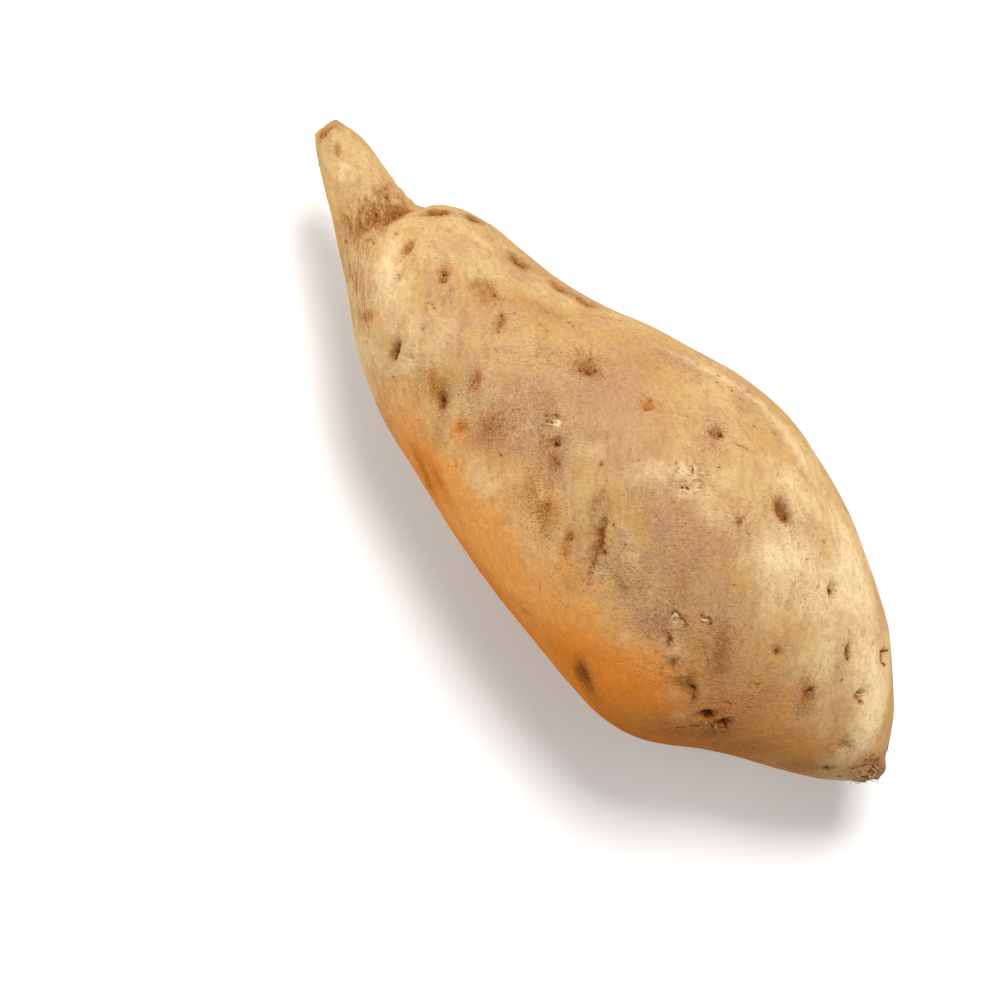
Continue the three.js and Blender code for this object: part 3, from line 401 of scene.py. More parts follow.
# Crumbs of skin that stand on the upper side: along, across, diameter, height
CRUMBS = [
    (91.4, -5.6, 1.6, 0.3), (90.9, -4.6, 1.2, 0.28), (119.4, 12.8, 1.5, 0.3), (120.8, 11.6, 1.3, 0.28),
    (122.2, 10.6, 1.6, 0.3), (123.4, 9.6, 1.2, 0.25), (121.4, 13.4, 0.9, 0.2), (142.8, -12.2, 1.2, 0.3),
    (143.6, -12.8, 1, 0.25), (145.4, -17.9, 1, 0.25), (147.6, -7.7, 1, 0.3), (166.8, -22.6, 0.9, 0.35),
    (168.2, -21.2, 1, 0.4), (169.8, -20.8, 0.8, 0.35), (171, -20, 0.7, 0.3), (101, 14.8, 0.8, 0.3),
    (114.6, -20.4, 0.8, 0.25), (120.4, -15, 0.7, 0.3), (119.8, -14, 0.6, 0.25),
    (130.2, -16.6, 0.8, 0.2), (129.2, -17.8, 0.7, 0.2), (34.6, 7.4, 0.8, 0.25), (47.8, -3.9, 0.7, 0.25),
    (117.6, 23.3, 0.8, 0.25), (134.4, 13.8, 0.8, 0.25), (136.4, 14.4, 0.7, 0.2), (86, 10.8, 0.7, 0.2),
    (139, 20.6, 0.8, 0.2),
]

# Marks that no one sees from above are drawn within these ranges
EXTRA_SEED = 77
EXTRA_TURN, EXTRA_ALONG = (176, 364), (10, 200)
EXTRA_DOTS, EXTRA_DOT_SIZE, EXTRA_DOT_DARK = 90, (0.6, 1.2), (0.4, 1)
EXTRA_CRACKS, EXTRA_CRACK_LENGTH, EXTRA_CRACK_WIDTH = 40, (1.2, 4.5), (0.2, 0.34)
EXTRA_CRACK_DEPTH, EXTRA_CRACK_DARK = 0.12, 0.8
EXTRA_PATCHES = {"tan": 16, "brown": 26, "mauve": 16, "pale": 12, "grain": 26}
EXTRA_PATCH_LENGTH, EXTRA_PATCH_SHAPE = (3, 16), (0.4, 0.9)
EXTRA_PATCH_STRENGTH = (0.35, 0.75)

# Wrinkles in the fold are drawn along this line (along, across) and on the neck above it
FOLD_LINE = [(28.7, 3.9), (28.6, 0.1), (27.9, -3.2), (26.2, -7.3), (26.1, -11), (26.4, -13.6)]
WRINKLES, WRINKLE_SEED = 46, 5
WRINKLE_SETBACK, WRINKLE_LENGTH, WRINKLE_TURN = (-6, 0.8), (1.2, 3.4), (140, 195)
WRINKLE_WIDTH, WRINKLE_DEPTH, WRINKLE_DARK = (0.22, 0.4), 0.14, (0.15, 0.45)
WRINKLE_BEND = (-50, 50)

# Unevenness of the skin: wavelength and height. The marks' outlines waver in the same way.
UNEVENNESS = [(17, 0.28), (7, 0.12), (3, 0.05)]
WAVERS, WAVER_SEED = [(3.2, 0.45), (1.1, 0.3)], 7

# Rough grain is made of fine noise and of coarse noise, so many times as long. It stands on grainy
# patches, more on the root end, called the tail, and a little in dark pits.
GRAIN_LENGTH, COARSE_TIMES, COARSE_SHIFT = 1.5, 2.2, 50
GRAIN_HEIGHT, GRAIN_FINE, GRAIN_COARSE = 0.12, 0.6, 0.6
TAIL_ROUGH, TAIL_FINE, PIT_ROUGH = 0.5, 0.7, 0.2

# The tail's layer falls along its length from this amount at the very end, with 1 as its most
TAIL_LENGTH, TAIL_FULL = 7.5, 1.25

# Relief of small marks. A crack has a lip so many widths from its middle, and a dot has one too.
CRACK_LIP, CRACK_LIP_PLACE, CRACK_LIP_WIDTH = 0.35, 1.8, 0.8
DOT_DEPTH, DOT_LIP, DOT_LIP_PLACE = 0.3, 0.2, 1.6
CRUMB_SPREAD = 0.5

# How far from its middle a mark's colour and relief are worked out, in its own lengths or widths
PATCH_REACH, EYE_STAIN_REACH, DOT_STAIN_REACH, LINE_STAIN_REACH = 1.2, 2, 3, 6
DOT_REACH, LINE_REACH, CRUMB_REACH = 2, 5, 2

# What marks add to the layers: the greatest amount, and how fast or how far off it fades
EYE_DARK, EYE_DARK_FADE, EYE_STAIN_FADE = 0.8, 1.8, 0.6
EYE_GRAIN, EYE_GRAIN_FADE = 0.6, 0.3
DOT_STAIN, DOT_STAIN_FADE = 0.4, 0.35
LINE_STAIN, LINE_STAIN_WIDTH = 0.25, 2.5
CRUMB_PALE, TAIL_DARK = 0.6, 0.3
TIP_MARKS = [("brown", 0.5, 3.4), ("grain", 1, 5), ("dark", 0.5, 1.6)]

# The skin's mesh: its longest edges on plain skin, in the eyes, and in dots and cracks, how fast
# they grow with the distance from these, how much of an eye's or a dot's length is as fine as its
# middle, and how far past the scar's rim the skin is as fine as in an eye
PLAIN_EDGE, EYE_EDGE, DOT_EDGE, CRACK_EDGE = 1.7, 0.52, 0.36, 0.3
EDGE_GROWTH = 0.95
EYE_CORE, DOT_CORE, SCAR_MARGIN = 0.5, 0.7, 1
START_SUBDIVISIONS, MIDDLE_SHARE, MOST_PASSES = 5, 0.42, 9


class Draws:
    """Repeatable random draws, each between the two ends of a range."""

    FACTOR, STEP, COUNT = 1664525, 1013904223, 4294967296

    def __init__(self, seed):
        self.drawn = seed

    def between(self, low, high):
        self.drawn = (self.drawn * self.FACTOR + self.STEP) % self.COUNT
        return low + (high - low) * self.drawn / self.COUNT


def station(along):
    """Turns a distance along the root into an angle from its tip, so that round ends stay round."""
    return np.arccos(np.clip(1 - 2 * np.asarray(along, float) / LENGTH, -1, 1))


def side_curve(points):
    """A smooth curve through the points of one side, as a function of the station."""
    at = station([along for along, _ in points])
    value = np.array([reach for _, reach in points], float)
    span = np.diff(at)
    steepness = np.diff(value) / span
    slope = np.empty(len(points))
    slope[[0, -1]] = steepness[[0, -1]]
    slope[1:-1] = (steepness[:-1] * span[1:] + steepness[1:] * span[:-1]) / (span[1:] + span[:-1])

    def reach_at(s):
        i = np.clip(np.searchsorted(at, s, side="right") - 1, 0, len(span) - 1)
        f = (s - at[i]) / span[i]
        g = 1 - f
        start = (1 + 2 * f) * g * g * value[i] + f * g * g * span[i] * slope[i]
        end = f * f * (3 - 2 * f) * value[i + 1] - f * f * g * span[i] * slope[i + 1]
        return start + end

    return reach_at


far_side, near_side, back, belly = map(side_curve, (FAR_SIDE, NEAR_SIDE, BACK, BELLY))


def unit(vectors):
    return vectors / np.linalg.norm(vectors, axis=-1, keepdims=True)


def skin_points(directions):
    """The plain skin over directions of the sphere."""
    s = np.arccos(np.clip(-directions[:, 0], -1, 1))
    round_ = np.maximum(np.hypot(directions[:, 1], directions[:, 2]), LEAST_ROUND)
    right, left, top, low = far_side(s), near_side(s), back(s), belly(s)
    return np.stack([
        LENGTH / 2 * (1 + directions[:, 0]),
        (right + left) / 2 + (right - left) / 2 * directions[:, 1] / round_,
        (top + low) / 2 + (top - low) / 2 * directions[:, 2] / round_,
    ], axis=1)


def skin_normals(directions):
    """Outward normals of the plain skin, from short steps on the sphere."""
    level = np.abs(directions[:, 2:]) < STEEPEST
    helper = np.where(level, [0.0, 0.0, 1.0], [0.0, 1.0, 0.0])
    first = unit(np.cross(helper, directions))
    second = np.cross(directions, first)
    ahead = [skin_points(unit(directions + NORMAL_STEP * way)) for way in (first, second)]
    behind = [skin_points(unit(directions - NORMAL_STEP * way)) for way in (first, second)]
    return unit(np.cross(ahead[0] - behind[0], ahead[1] - behind[1]))


def direction_at(along, turn):
    """The direction of a place at a turn round the root, here in radians."""
    x = 2 * along / LENGTH - 1
    round_ = math.sqrt(1 - x * x)
    return np.array([x, round_ * math.cos(turn), round_ * math.sin(turn)])


def upper_direction(along, across):
    """The direction of a place on the upper side, as seen from above."""
    right, left = far_side(station(along)), near_side(station(along))
    cosine = np.clip((across - (right + left) / 2) / ((right - left) / 2), -1, 1)
    return direction_at(along, math.acos(cosine))


def point_at(direction):
    return skin_points(direction[None])[0]


def within(points, centre, reach):
    """Which of the points are within reach of the centre."""
    close = np.flatnonzero(np.abs(points[:, 0] - centre[0]) < reach)
    return close[np.linalg.norm(points[close] - centre, axis=1) < reach]


class Mark:
    """An oval on the skin with its own two directions: lengthwise and crosswise."""

    def __init__(self, direction, length, width, turn):
        self.direction = direction
        self.centre = point_at(direction)
        self.normal = skin_normals(direction[None])[0]
        lengthwise = unit(np.array([1.0, 0, 0]) - self.normal[0] * self.normal)
        crosswise = np.cross(self.normal, lengthwise)
        angle = math.radians(turn)
        self.long = lengthwise * math.cos(angle) + crosswise * math.sin(angle)
        self.wide = np.cross(self.normal, self.long)
        self.length, self.width = length, width

    def ring(self, points):
        """Squared distance from the middle in the mark's own oval, 1 at its edge."""
        away = points - self.centre
        lengthwise = away @ self.long / (self.length / 2)
        return lengthwise ** 2 + (away @ self.wide / (self.width / 2)) ** 2

    def near(self, points, reach):
        return within(points, self.centre, reach)


class Dot(Mark):
    """A small round pit."""

    def __init__(self, direction, size, dark):
        super().__init__(direction, size, size, 0)
        self.dark = dark


class Eye(Mark):
    """An oval bowl with a low lip."""

    def __init__(self, direction, length, width, depth, turn, dark, stain):
        super().__init__(direction, length, width, turn)
        self.depth, self.dark, self.stain = depth, dark, stain

    def relief(self, points):
        height = np.zeros(len(points))
        close = self.near(points, EYE_REACH * self.length)
        ring = self.ring(points[close])
        height[close] = self.depth * np.exp(-ring) * (EYE_LIP * ring * ring - 1)
        return height


def hidden_eyes(draws):
    found = []
    for row in HIDDEN_ROWS:
        along = HIDDEN_START + draws.between(*HIDDEN_STEP)
        while along < HIDDEN_END:
            direction = direction_at(along, math.radians(row + draws.between(*HIDDEN_WANDER)))
            length, width = draws.between(*HIDDEN_LENGTH), draws.between(*HIDDEN_WIDTH)
            depth, turn = draws.between(*HIDDEN_DEPTH), draws.between(*HIDDEN_TURN)
            if point_at(direction)[2] > LOWEST_EYE:
                dark = min(1.0, HIDDEN_DARK + depth / HIDDEN_DARK_DEPTH)
                found.append(Eye(direction, length, width, depth, turn, dark, HIDDEN_STAIN))
            along += draws.between(*HIDDEN_STEP)
    return found


def lump(along, turn, reach, height):
    """The middle, reach and height of a swelling, a hollow or a knob."""
    return point_at(direction_at(along, math.radians(turn))), reach, height


def make_knobs(draws):
    turn_step = 360 / KNOBS
    made = []
    for i in range(KNOBS):
        along = LENGTH - draws.between(*KNOB_FROM_END)
        turn = draws.between(i * turn_step, (i + 1) * turn_step)
        made.append(lump(along, turn, draws.between(*KNOB_RADIUS), draws.between(*KNOB_HEIGHT)))
    return made


part_draws = Draws(PART_SEED)
eyes = [
    Eye(upper_direction(along, across), *sizes) for along, across, *sizes in UPPER_EYES
] + hidden_eyes(part_draws)
knobs = make_knobs(part_draws)
lumps = [lump(*row) for row in SWELLINGS] + knobs
tip = point_at(np.array([-1.0, 0, 0]))
root_end = point_at(np.array([1.0, 0, 0]))


class Line:
    """A thin line over the skin: a crack, a wrinkle or the raised edge of a flake."""

    def __init__(self, directions, width, depth, dark, pale=0.0):
        self.points = np.array([point_at(direction) for direction in directions])
        self.width, self.depth, self.dark, self.pale = width, depth, dark, pale
        self.centre = (self.points.max(axis=0) + self.points.min(axis=0)) / 2
        self.radius = np.linalg.norm(self.points - self.centre, axis=1).max()

    def gap(self, points):
        """Distance of points from the line."""
        gaps = []
        for start, end in zip(self.points, self.points[1:]):
            way = end - start
            share = np.clip((points - start) @ way / (way @ way), 0, 1)
            gaps.append(np.linalg.norm(points - start - share[:, None] * way, axis=1))
        return np.min(gaps, axis=0)

    def near(self, points, reach):
        return within(points, self.centre, self.radius + reach)


def upper_line(places, width, depth, dark, pale=0.0):
    """A line through places on the upper side."""
    return Line([upper_direction(*place) for place in places], width, depth, dark, pale)


def stepped(along, across, length, turn):
    """The place at a distance and turn from a place on the upper side."""
    angle = math.radians(turn)
    return along + length * math.cos(angle), across + length * math.sin(angle)


def make_wrinkles():
    """Short wavy wrinkles on and above the fold, as seen from above."""
    draws = Draws(WRINKLE_SEED)
    made = []
    for _ in range(WRINKLES):
        place = draws.between(0, len(FOLD_LINE) - 1)
        i = int(place)
        start, end = np.array(FOLD_LINE[i]), np.array(FOLD_LINE[i + 1])
        along, across = start + (place - i) * (end - start)
        along += draws.between(*WRINKLE_SETBACK)
        length, turn = draws.between(*WRINKLE_LENGTH), draws.between(*WRINKLE_TURN)
        middle = stepped(along, across, length / 2, turn)
        last = stepped(*middle, length / 2, turn + draws.between(*WRINKLE_BEND))
        places = ((along, across), middle, last)
        dark = draws.between(*WRINKLE_DARK)
        made.append(upper_line(places, draws.between(*WRINKLE_WIDTH), WRINKLE_DEPTH, dark))
    return made


def extra_direction(draws):
    along = draws.between(*EXTRA_ALONG)
    return direction_at(along, math.radians(draws.between(*EXTRA_TURN)))


extra = Draws(EXTRA_SEED)
dots = [Dot(upper_direction(along, across), size, dark) for along, across, size, dark in DOTS]
for _ in range(EXTRA_DOTS):
    size = extra.between(*EXTRA_DOT_SIZE)
    dots.append(Dot(extra_direction(extra), size, extra.between(*EXTRA_DOT_DARK)))

lines = [upper_line(*crack) for crack in CRACKS] + make_wrinkles() + [
    upper_line(places, width, -height, 0, FLAKE_PALE) for places, width, height in FLAKES
]
for _ in range(EXTRA_CRACKS):
    start = extra_direction(extra)
    reach = extra.between(*EXTRA_CRACK_LENGTH) / LENGTH
    end = unit(start + np.array([extra.between(-reach, reach) for _ in range(3)]))
    width = extra.between(*EXTRA_CRACK_WIDTH)
    lines.append(Line([start, end], width, EXTRA_CRACK_DEPTH, EXTRA_CRACK_DARK))

crumbs = [
    (point_at(upper_direction(along, across)), size, height) for along, across, size, height in CRUMBS
]

patches = {
    kind: [
        (Mark(upper_direction(along, across), length, width, turn), strength)
        for along, across, length, width, turn, strength in rows
    ]
    for kind, rows in PATCHES.items()
}
for kind, count in EXTRA_PATCHES.items():
    for _ in range(count):
        length = extra.between(*EXTRA_PATCH_LENGTH)
        width = length * extra.between(*EXTRA_PATCH_SHAPE)
        mark = Mark(extra_direction(extra), length, width, extra.between(0, 180))
        patches[kind].append((mark, extra.between(*EXTRA_PATCH_STRENGTH)))


def bell(away, reach):
    return np.exp(-(away / reach) ** 2)


def distance(points, centre):
    return np.linalg.norm(points - centre, axis=1)


def fold_offset(points):
    """How far points are past the line of the fold."""
    return points[:, 0] - FOLD_ALONG - FOLD_LEAN * points[:, 1]


def fold_strength(directions):
    """How much of the fold is there, from all on the far side to none on the near side."""
    round_ = np.maximum(np.hypot(directions[:, 1], directions[:, 2]), LEAST_ROUND)
    return ((1 + directions[:, 1] / round_) / 2) ** FOLD_FADE


def relief(directions, points):
    """How far the frame part's skin stands out of the plain skin."""
    height = np.zeros(len(points))
    for centre, reach, top in lumps:
        height += top * bell(distance(points, centre), reach)
    for eye in eyes:
        height += eye.relief(points)
    offset = fold_offset(points)
    depth = FOLD_DEPTH * fold_strength(directions)
    for place, width, share in FOLDS:
        height -= depth * share * bell(offset - place, width)
    from_tip = distance(points, tip)
    height -= SCAR_DEPTH * bell(from_tip, SCAR_RADIUS)
    height += SCAR_RIM_HEIGHT * bell(from_tip - SCAR_RIM_RADIUS, SCAR_RIM_WIDTH)
    return height


def noise_at(points, wavelength, kind=noise.noise):
    """Smooth noise between about -1 and 1, a number or a vector for each point."""
    return np.array([kind(Vector(p)) for p in points / wavelength])


def wavered(points):
    """The points moved about a little, so that marks drawn with them have uneven outlines."""
    noise.seed_set(WAVER_SEED)
    return points + sum(
        top * noise_at(points, wavelength, noise.noise_vector) for wavelength, top in WAVERS
    )


def longest_edge(points):
    """How long an edge may be where its middle is at each of the points."""
    longest = np.full(len(points), PLAIN_EDGE)
    reach = PLAIN_EDGE / EDGE_GROWTH

    def allow(edge, centre, radius):
        close = np.flatnonzero(np.abs(points[:, 0] - centre[0]) < radius + reach)
        gap = np.maximum(distance(points[close], centre) - radius, 0)
        longest[close] = np.minimum(longest[close], edge + EDGE_GROWTH * gap)

    for eye in eyes:
        allow(EYE_EDGE, eye.centre, EYE_CORE * eye.length)
    for dot in dots:
        allow(DOT_EDGE, dot.centre, DOT_CORE * dot.length)
    for centre, size, _ in crumbs:
        allow(DOT_EDGE, centre, DOT_CORE * size)
    for centre, radius, _ in knobs:
        allow(EYE_EDGE, centre, radius)
    for line in lines:
        close = line.near(points, reach)
        gap = np.maximum(line.gap(points[close]) - line.width, 0)
        longest[close] = np.minimum(longest[close], CRACK_EDGE + EDGE_GROWTH * gap)
    allow(EYE_EDGE, tip, SCAR_RIM_RADIUS + SCAR_MARGIN)
    return longest


# Corners 0 to 2 are the triangle's own, and 3 to 5 the middles of ab, bc and ca
SPLITS = {
    1: [[0, 3, 2], [3, 1, 2]],
    2: [[3, 1, 4], [0, 3, 4], [0, 4, 2]],
    3: [[0, 3, 5], [3, 1, 4], [5, 4, 2], [3, 4, 5]],
}


def split(faces, middles):
    """Splits each triangle at the middles of its sides, in the order ab, bc, ca; -1 is no middle."""
    cut = middles >= 0
    cuts = cut.sum(axis=1)
    turn = np.where(cuts == 1, np.argmax(cut, axis=1), 0)
    turn = np.where(cuts == 2, (np.argmin(cut, axis=1) + 1) % 3, turn)
    order = (turn[:, None] + np.arange(3)) % 3
    faces = np.take_along_axis(faces, order, axis=1)
    middles = np.take_along_axis(middles, order, axis=1)
    done = [faces[cuts == 0]]
    for count, pattern in SPLITS.items():
        chosen = np.concatenate([faces, middles], axis=1)[cuts == count]
        done += [chosen[:, corners] for corners in pattern]
    return np.concatenate(done)


def refined_sphere():
    """Directions and triangles of a sphere, finer where the skin over it needs short edges."""
    ball = bmesh.new()
    bmesh.ops.create_icosphere(ball, subdivisions=START_SUBDIVISIONS, radius=1)
    directions = unit(np.array([v.co for v in ball.verts]))
    faces = np.array([[v.index for v in f.verts] for f in ball.faces])
    ball.free()
    # Drawn together at the middle, because the root is longer than it is thick
    along = directions[:, 0]
    drawn = MIDDLE_SHARE * along + (1 - MIDDLE_SHARE) * along ** 3
    round_ = np.sqrt((1 - drawn ** 2) / np.maximum(1 - along ** 2, LEAST_ROUND))
    directions = unit(np.column_stack([drawn, directions[:, 1] * round_, directions[:, 2] * round_]))
    for _ in range(MOST_PASSES):
        sides = np.sort(faces[:, [[0, 1], [1, 2], [2, 0]]].reshape(-1, 2), axis=1)
        keys, which = np.unique(sides[:, 0] * len(directions) + sides[:, 1], return_inverse=True)
        edges = np.stack([keys // len(directions), keys % len(directions)], axis=1)
        places = skin_points(directions)[edges]
        length = np.linalg.norm(places[:, 0] - places[:, 1], axis=1)
        long = length > PLAIN_EDGE
        unsure = (length > CRACK_EDGE) & ~long
        long[unsure] = length[unsure] > longest_edge(places[unsure].mean(axis=1))
        if not long.any():
            break
        middles = np.full(len(edges), -1)
        middles[long] = len(directions) + np.arange(long.sum())
        faces = split(faces, middles[which].reshape(-1, 3))
        directions = np.concatenate([directions, unit(directions[edges[long]].sum(axis=1))])
    return directions, faces


def skin_layers(points, wavering):
    """For each point of the skin, how much of each kind of mark is there, from 0 to 1."""
    layers = {kind: np.zeros(len(points)) for kind in ("dark", "tail", *PATCHES)}

    def add(kind, close, amount):
        layers[kind][close] = 1 - (1 - layers[kind][close]) * (1 - np.clip(amount, 0, 1))

    for kind, rows in patches.items():
        for mark, strength in rows:
            close = mark.near(wavering, PATCH_REACH * mark.length)
            add(kind, close, strength * np.exp(-mark.ring(wavering[close])))
    for eye in eyes:
        close = eye.near(wavering, EYE_STAIN_REACH * eye.length)
        ring = eye.ring(wavering[close])
        add("dark", close, EYE_DARK * eye.dark * np.exp(-EYE_DARK_FADE * ring))
        add("brown", close, eye.stain * np.exp(-EYE_STAIN_FADE * ring))
        add("grain", close, EYE_GRAIN * np.exp(-EYE_GRAIN_FADE * ring))
    for dot in dots:
        close = dot.near(wavering, DOT_STAIN_REACH * dot.length)
        ring = dot.ring(wavering[close])
        add("dark", close, dot.dark * np.exp(-ring))
        add("brown", close, DOT_STAIN * np.exp(-DOT_STAIN_FADE * ring))
    for line in lines:
        close = line.near(wavering, LINE_STAIN_REACH * line.width)
        gap = line.gap(wavering[close])
        add("dark", close, line.dark * bell(gap, line.width))
        if line.dark > 0:
            add("brown", close, LINE_STAIN * bell(gap, LINE_STAIN_WIDTH * line.width))
        add("pale", close, line.pale * bell(gap, line.width))
    for centre, size, _ in crumbs:
        close = within(wavering, centre, CRUMB_REACH * size)
        amount = CRUMB_PALE * bell(distance(wavering[close], centre), CRUMB_SPREAD * size)
        add("pale", close, amount)
    everywhere = slice(None)
    for kind, most, reach in TIP_MARKS:
        add(kind, everywhere, most * bell(distance(wavering, tip), reach))
    layers["tail"] = np.clip(TAIL_FULL - distance(points, root_end) / TAIL_LENGTH, 0, 1)
    add("dark", everywhere, TAIL_DARK * layers["tail"])
    return layers


def fine_relief(points, wavering, layers):
    """How far the full skin stands out of the frame part's skin."""
    height = sum(top * noise_at(points + wavelength, wavelength) for wavelength, top in UNEVENNESS)
    for line in lines:
        close = line.near(wavering, LINE_REACH * line.width)
        gap = line.gap(wavering[close])
        lip = bell(gap - CRACK_LIP_PLACE * line.width, CRACK_LIP_WIDTH * line.width)
        height[close] -= line.depth * (bell(gap, line.width) - CRACK_LIP * lip)
    for dot in dots:
        close = dot.near(wavering, DOT_REACH * dot.length)
        ring = dot.ring(wavering[close])
        pit = np.exp(-ring) - DOT_LIP * np.exp(-(ring - DOT_LIP_PLACE) ** 2)
        height[close] -= DOT_DEPTH * dot.dark * dot.length * pit
    for centre, size, top in crumbs:
        close = within(wavering, centre, CRUMB_REACH * size)
        height[close] += top * bell(distance(wavering[close], centre), CRUMB_SPREAD * size)
    rough = noise_at(points, GRAIN_LENGTH)
    coarse = noise_at(points + COARSE_SHIFT, COARSE_TIMES * GRAIN_LENGTH)
    height += GRAIN_HEIGHT * layers["grain"] * (GRAIN_FINE * rough + GRAIN_COARSE * coarse)
    height += TAIL_ROUGH * layers["tail"] * (TAIL_FINE * rough + coarse)
    height += PIT_ROUGH * layers["dark"] * rough
    return height


def new_object(name, vertices, faces):
    mesh = bpy.data.meshes.new(name)
    mesh.from_pydata(vertices.tolist(), [], faces.tolist())
    mesh.polygons.foreach_set("use_smooth", [True] * len(mesh.polygons))
    mesh.update()
    piece = bpy.data.objects.new(name, mesh)
    bpy.context.collection.objects.link(piece)
    return piece


def to_frame(points):
    return (points - MIDDLE) * METRES


def make_skin():
    directions, faces = refined_sphere()
    points = skin_points(directions)
    wavering = wavered(points)
    layers = skin_layers(points, wavering)
    height = relief(directions, wavering) + fine_relief(points, wavering, layers)
    raised = points + skin_normals(directions) * height[:, None]
    # The small flat spot that it lies on
    raised[:, 2] = np.maximum(raised[:, 2], 0)
    piece = new_object("skin", to_frame(raised), faces)
    for kind, amount in layers.items():
        piece.data.attributes.new(kind, "FLOAT", "POINT").data.foreach_set("value", amount)
    print("skin:", len(points), "points,", len(faces), "triangles")
    return piece


# Rootlets are thin tapered tubes. A bunch of them stands on the root end, and single ones are
# given as: along, across, turn, length, thickness, how much it rises, how much it bends, how pale
ROOTLET_SIDES, ROOTLET_STEPS, ROOTLET_SUNK = 5, 7, 0.25
ROOTLET_END, ROOTLET_LIFT, ROOTLET_DROOP = 0.3, 1.3, 0.6
ROOTLET_CROSSED = [0.31, 0.52, 0.79]
TUFT, TUFT_SEED = 70, 31
TUFT_ALONG, TUFT_LENGTH, TUFT_THICK = (199.5, 205.9), (0.8, 2.6), (0.09, 0.17)
TUFT_RISE, TUFT_BEND, TUFT_TURN = (0.15, 0.9), (-1.8, 1.8), (-60, 60)
TUFT_PALE_POWER = 3
ROOTLETS = [
    (200.7, 0.8, 2, 5.8, 0.17, 0.12, 0.1, 1), (203.4, 2.9, -40, 4, 0.15, 0.25, -0.5, 1),
    (203.2, -0.4, -30, 3.4, 0.14, 0.4, 0.9, 1), (202.4, 1.8, 40, 3, 0.12, 0.5, -0.8, 1),
    (185.7, 9.2, 35, 2.6, 0.24, 0.5, 1, 1), (186.6, 9.8, 20, 3.6, 0.14, 0.3, -0.4, 1),
    (187.2, 8.7, 60, 1.8, 0.16, 0.5, -1.5, 1), (181.4, 20, -20, 3.6, 0.34, 0.15, 0.5, 0),
    (182.3, 19.9, 62, 2, 0.26, 0.2, -0.5, 0), (149.5, 35.4, 20, 4.4, 0.16, 0.3, 0.9, 0.4),
    (7, -8, 205, 2.2, 0.15, 0.9, 0.5, 0), (23.8, 3.4, 125, 1.4, 0.14, 0.9, 0.4, 0),
    (5, 3, 100, 1, 0.12, 1, 0.3, 0.3), (20.6, 3.4, 150, 1.6, 0.14, 0.9, 0.6, 0),
    (30.4, 6.4, 120, 2, 0.12, 1, -0.8, 0.2), (31.6, 7.6, 95, 1.5, 0.11, 1.2, 0.6, 0.2),
    (54.2, 16.2, 90, 1, 0.12, 0.8, 0.4, 0.3),
]


def tube(points, thick, pale):
    """Corners, faces and paleness of a tube along points that tapers to its end."""
    way = unit(np.gradient(points, axis=0))
    side = unit(np.cross(way, ROOTLET_CROSSED))
    up = np.cross(way, side)
    radius = thick / 2 * np.linspace(1, ROOTLET_END, len(points))
    rings = []
    for turn in np.arange(ROOTLET_SIDES) * 2 * math.pi / ROOTLET_SIDES:
        rings.append(points + radius[:, None] * (math.cos(turn) * side + math.sin(turn) * up))
    corners = np.stack(rings, axis=1).reshape(-1, 3)
    faces = []
    for i in range(len(points) - 1):
        for j in range(ROOTLET_SIDES):
            a, b = i * ROOTLET_SIDES + j, i * ROOTLET_SIDES + (j + 1) % ROOTLET_SIDES
            faces += [(a, b, b + ROOTLET_SIDES), (a, b + ROOTLET_SIDES, a + ROOTLET_SIDES)]
    first, last = len(corners), len(corners) + 1
    corners = np.concatenate([corners, points[:1], points[-1:] + way[-1:] * thick / 2])
    end = (len(points) - 1) * ROOTLET_SIDES
    for j in range(ROOTLET_SIDES):
        k = (j + 1) % ROOTLET_SIDES
        faces += [(k, j, first), (end + j, end + k, last)]
    return corners, np.array(faces), np.full(len(corners), float(pale))


def rootlet(mark, length, thick, rise, bend, pale):
    """A rootlet that leaves the skin at a mark's middle, along its length, rising and bending."""
    share = np.linspace(0, 1, ROOTLET_STEPS)[:, None]
    height = relief(mark.direction[None], mark.centre[None])[0]
    start = mark.centre + mark.normal * (height - ROOTLET_SUNK)
    lift = ROOTLET_LIFT - ROOTLET_DROOP * share
    forward = mark.long * share + mark.normal * rise * share * lift
    return tube(start + length * (forward + mark.wide * bend * share ** 2 / 2), thick, pale)


def make_rootlets():
    draws = Draws(TUFT_SEED)
    made = []
    for along, across, turn, length, thick, rise, bend, pale in ROOTLETS:
        mark = Mark(upper_direction(along, across), 1, 1, turn)
        made.append(rootlet(mark, length, thick, rise, bend, pale))
    for _ in range(TUFT):
        direction = direction_at(draws.between(*TUFT_ALONG), math.radians(draws.between(0, 360)))
        mark = Mark(direction, 1, 1, draws.between(*TUFT_TURN))
        length, thick = draws.between(*TUFT_LENGTH), draws.between(*TUFT_THICK)
        rise, bend = draws.between(*TUFT_RISE), draws.between(*TUFT_BEND)
        pale = draws.between(0, 1) ** TUFT_PALE_POWER
        made.append(rootlet(mark, length, thick, rise, bend, pale))
    count, corners, faces, pale = 0, [], [], []
    for some_corners, some_faces, some_pale in made:
        corners.append(some_corners)
        faces.append(some_faces + count)
        pale.append(some_pale)
        count += len(some_corners)
    piece = new_object("rootlets", to_frame(np.concatenate(corners)), np.concatenate(faces))
    attribute = piece.data.attributes.new("pale", "FLOAT", "POINT")
    attribute.data.foreach_set("value", np.concatenate(pale))
    return piece


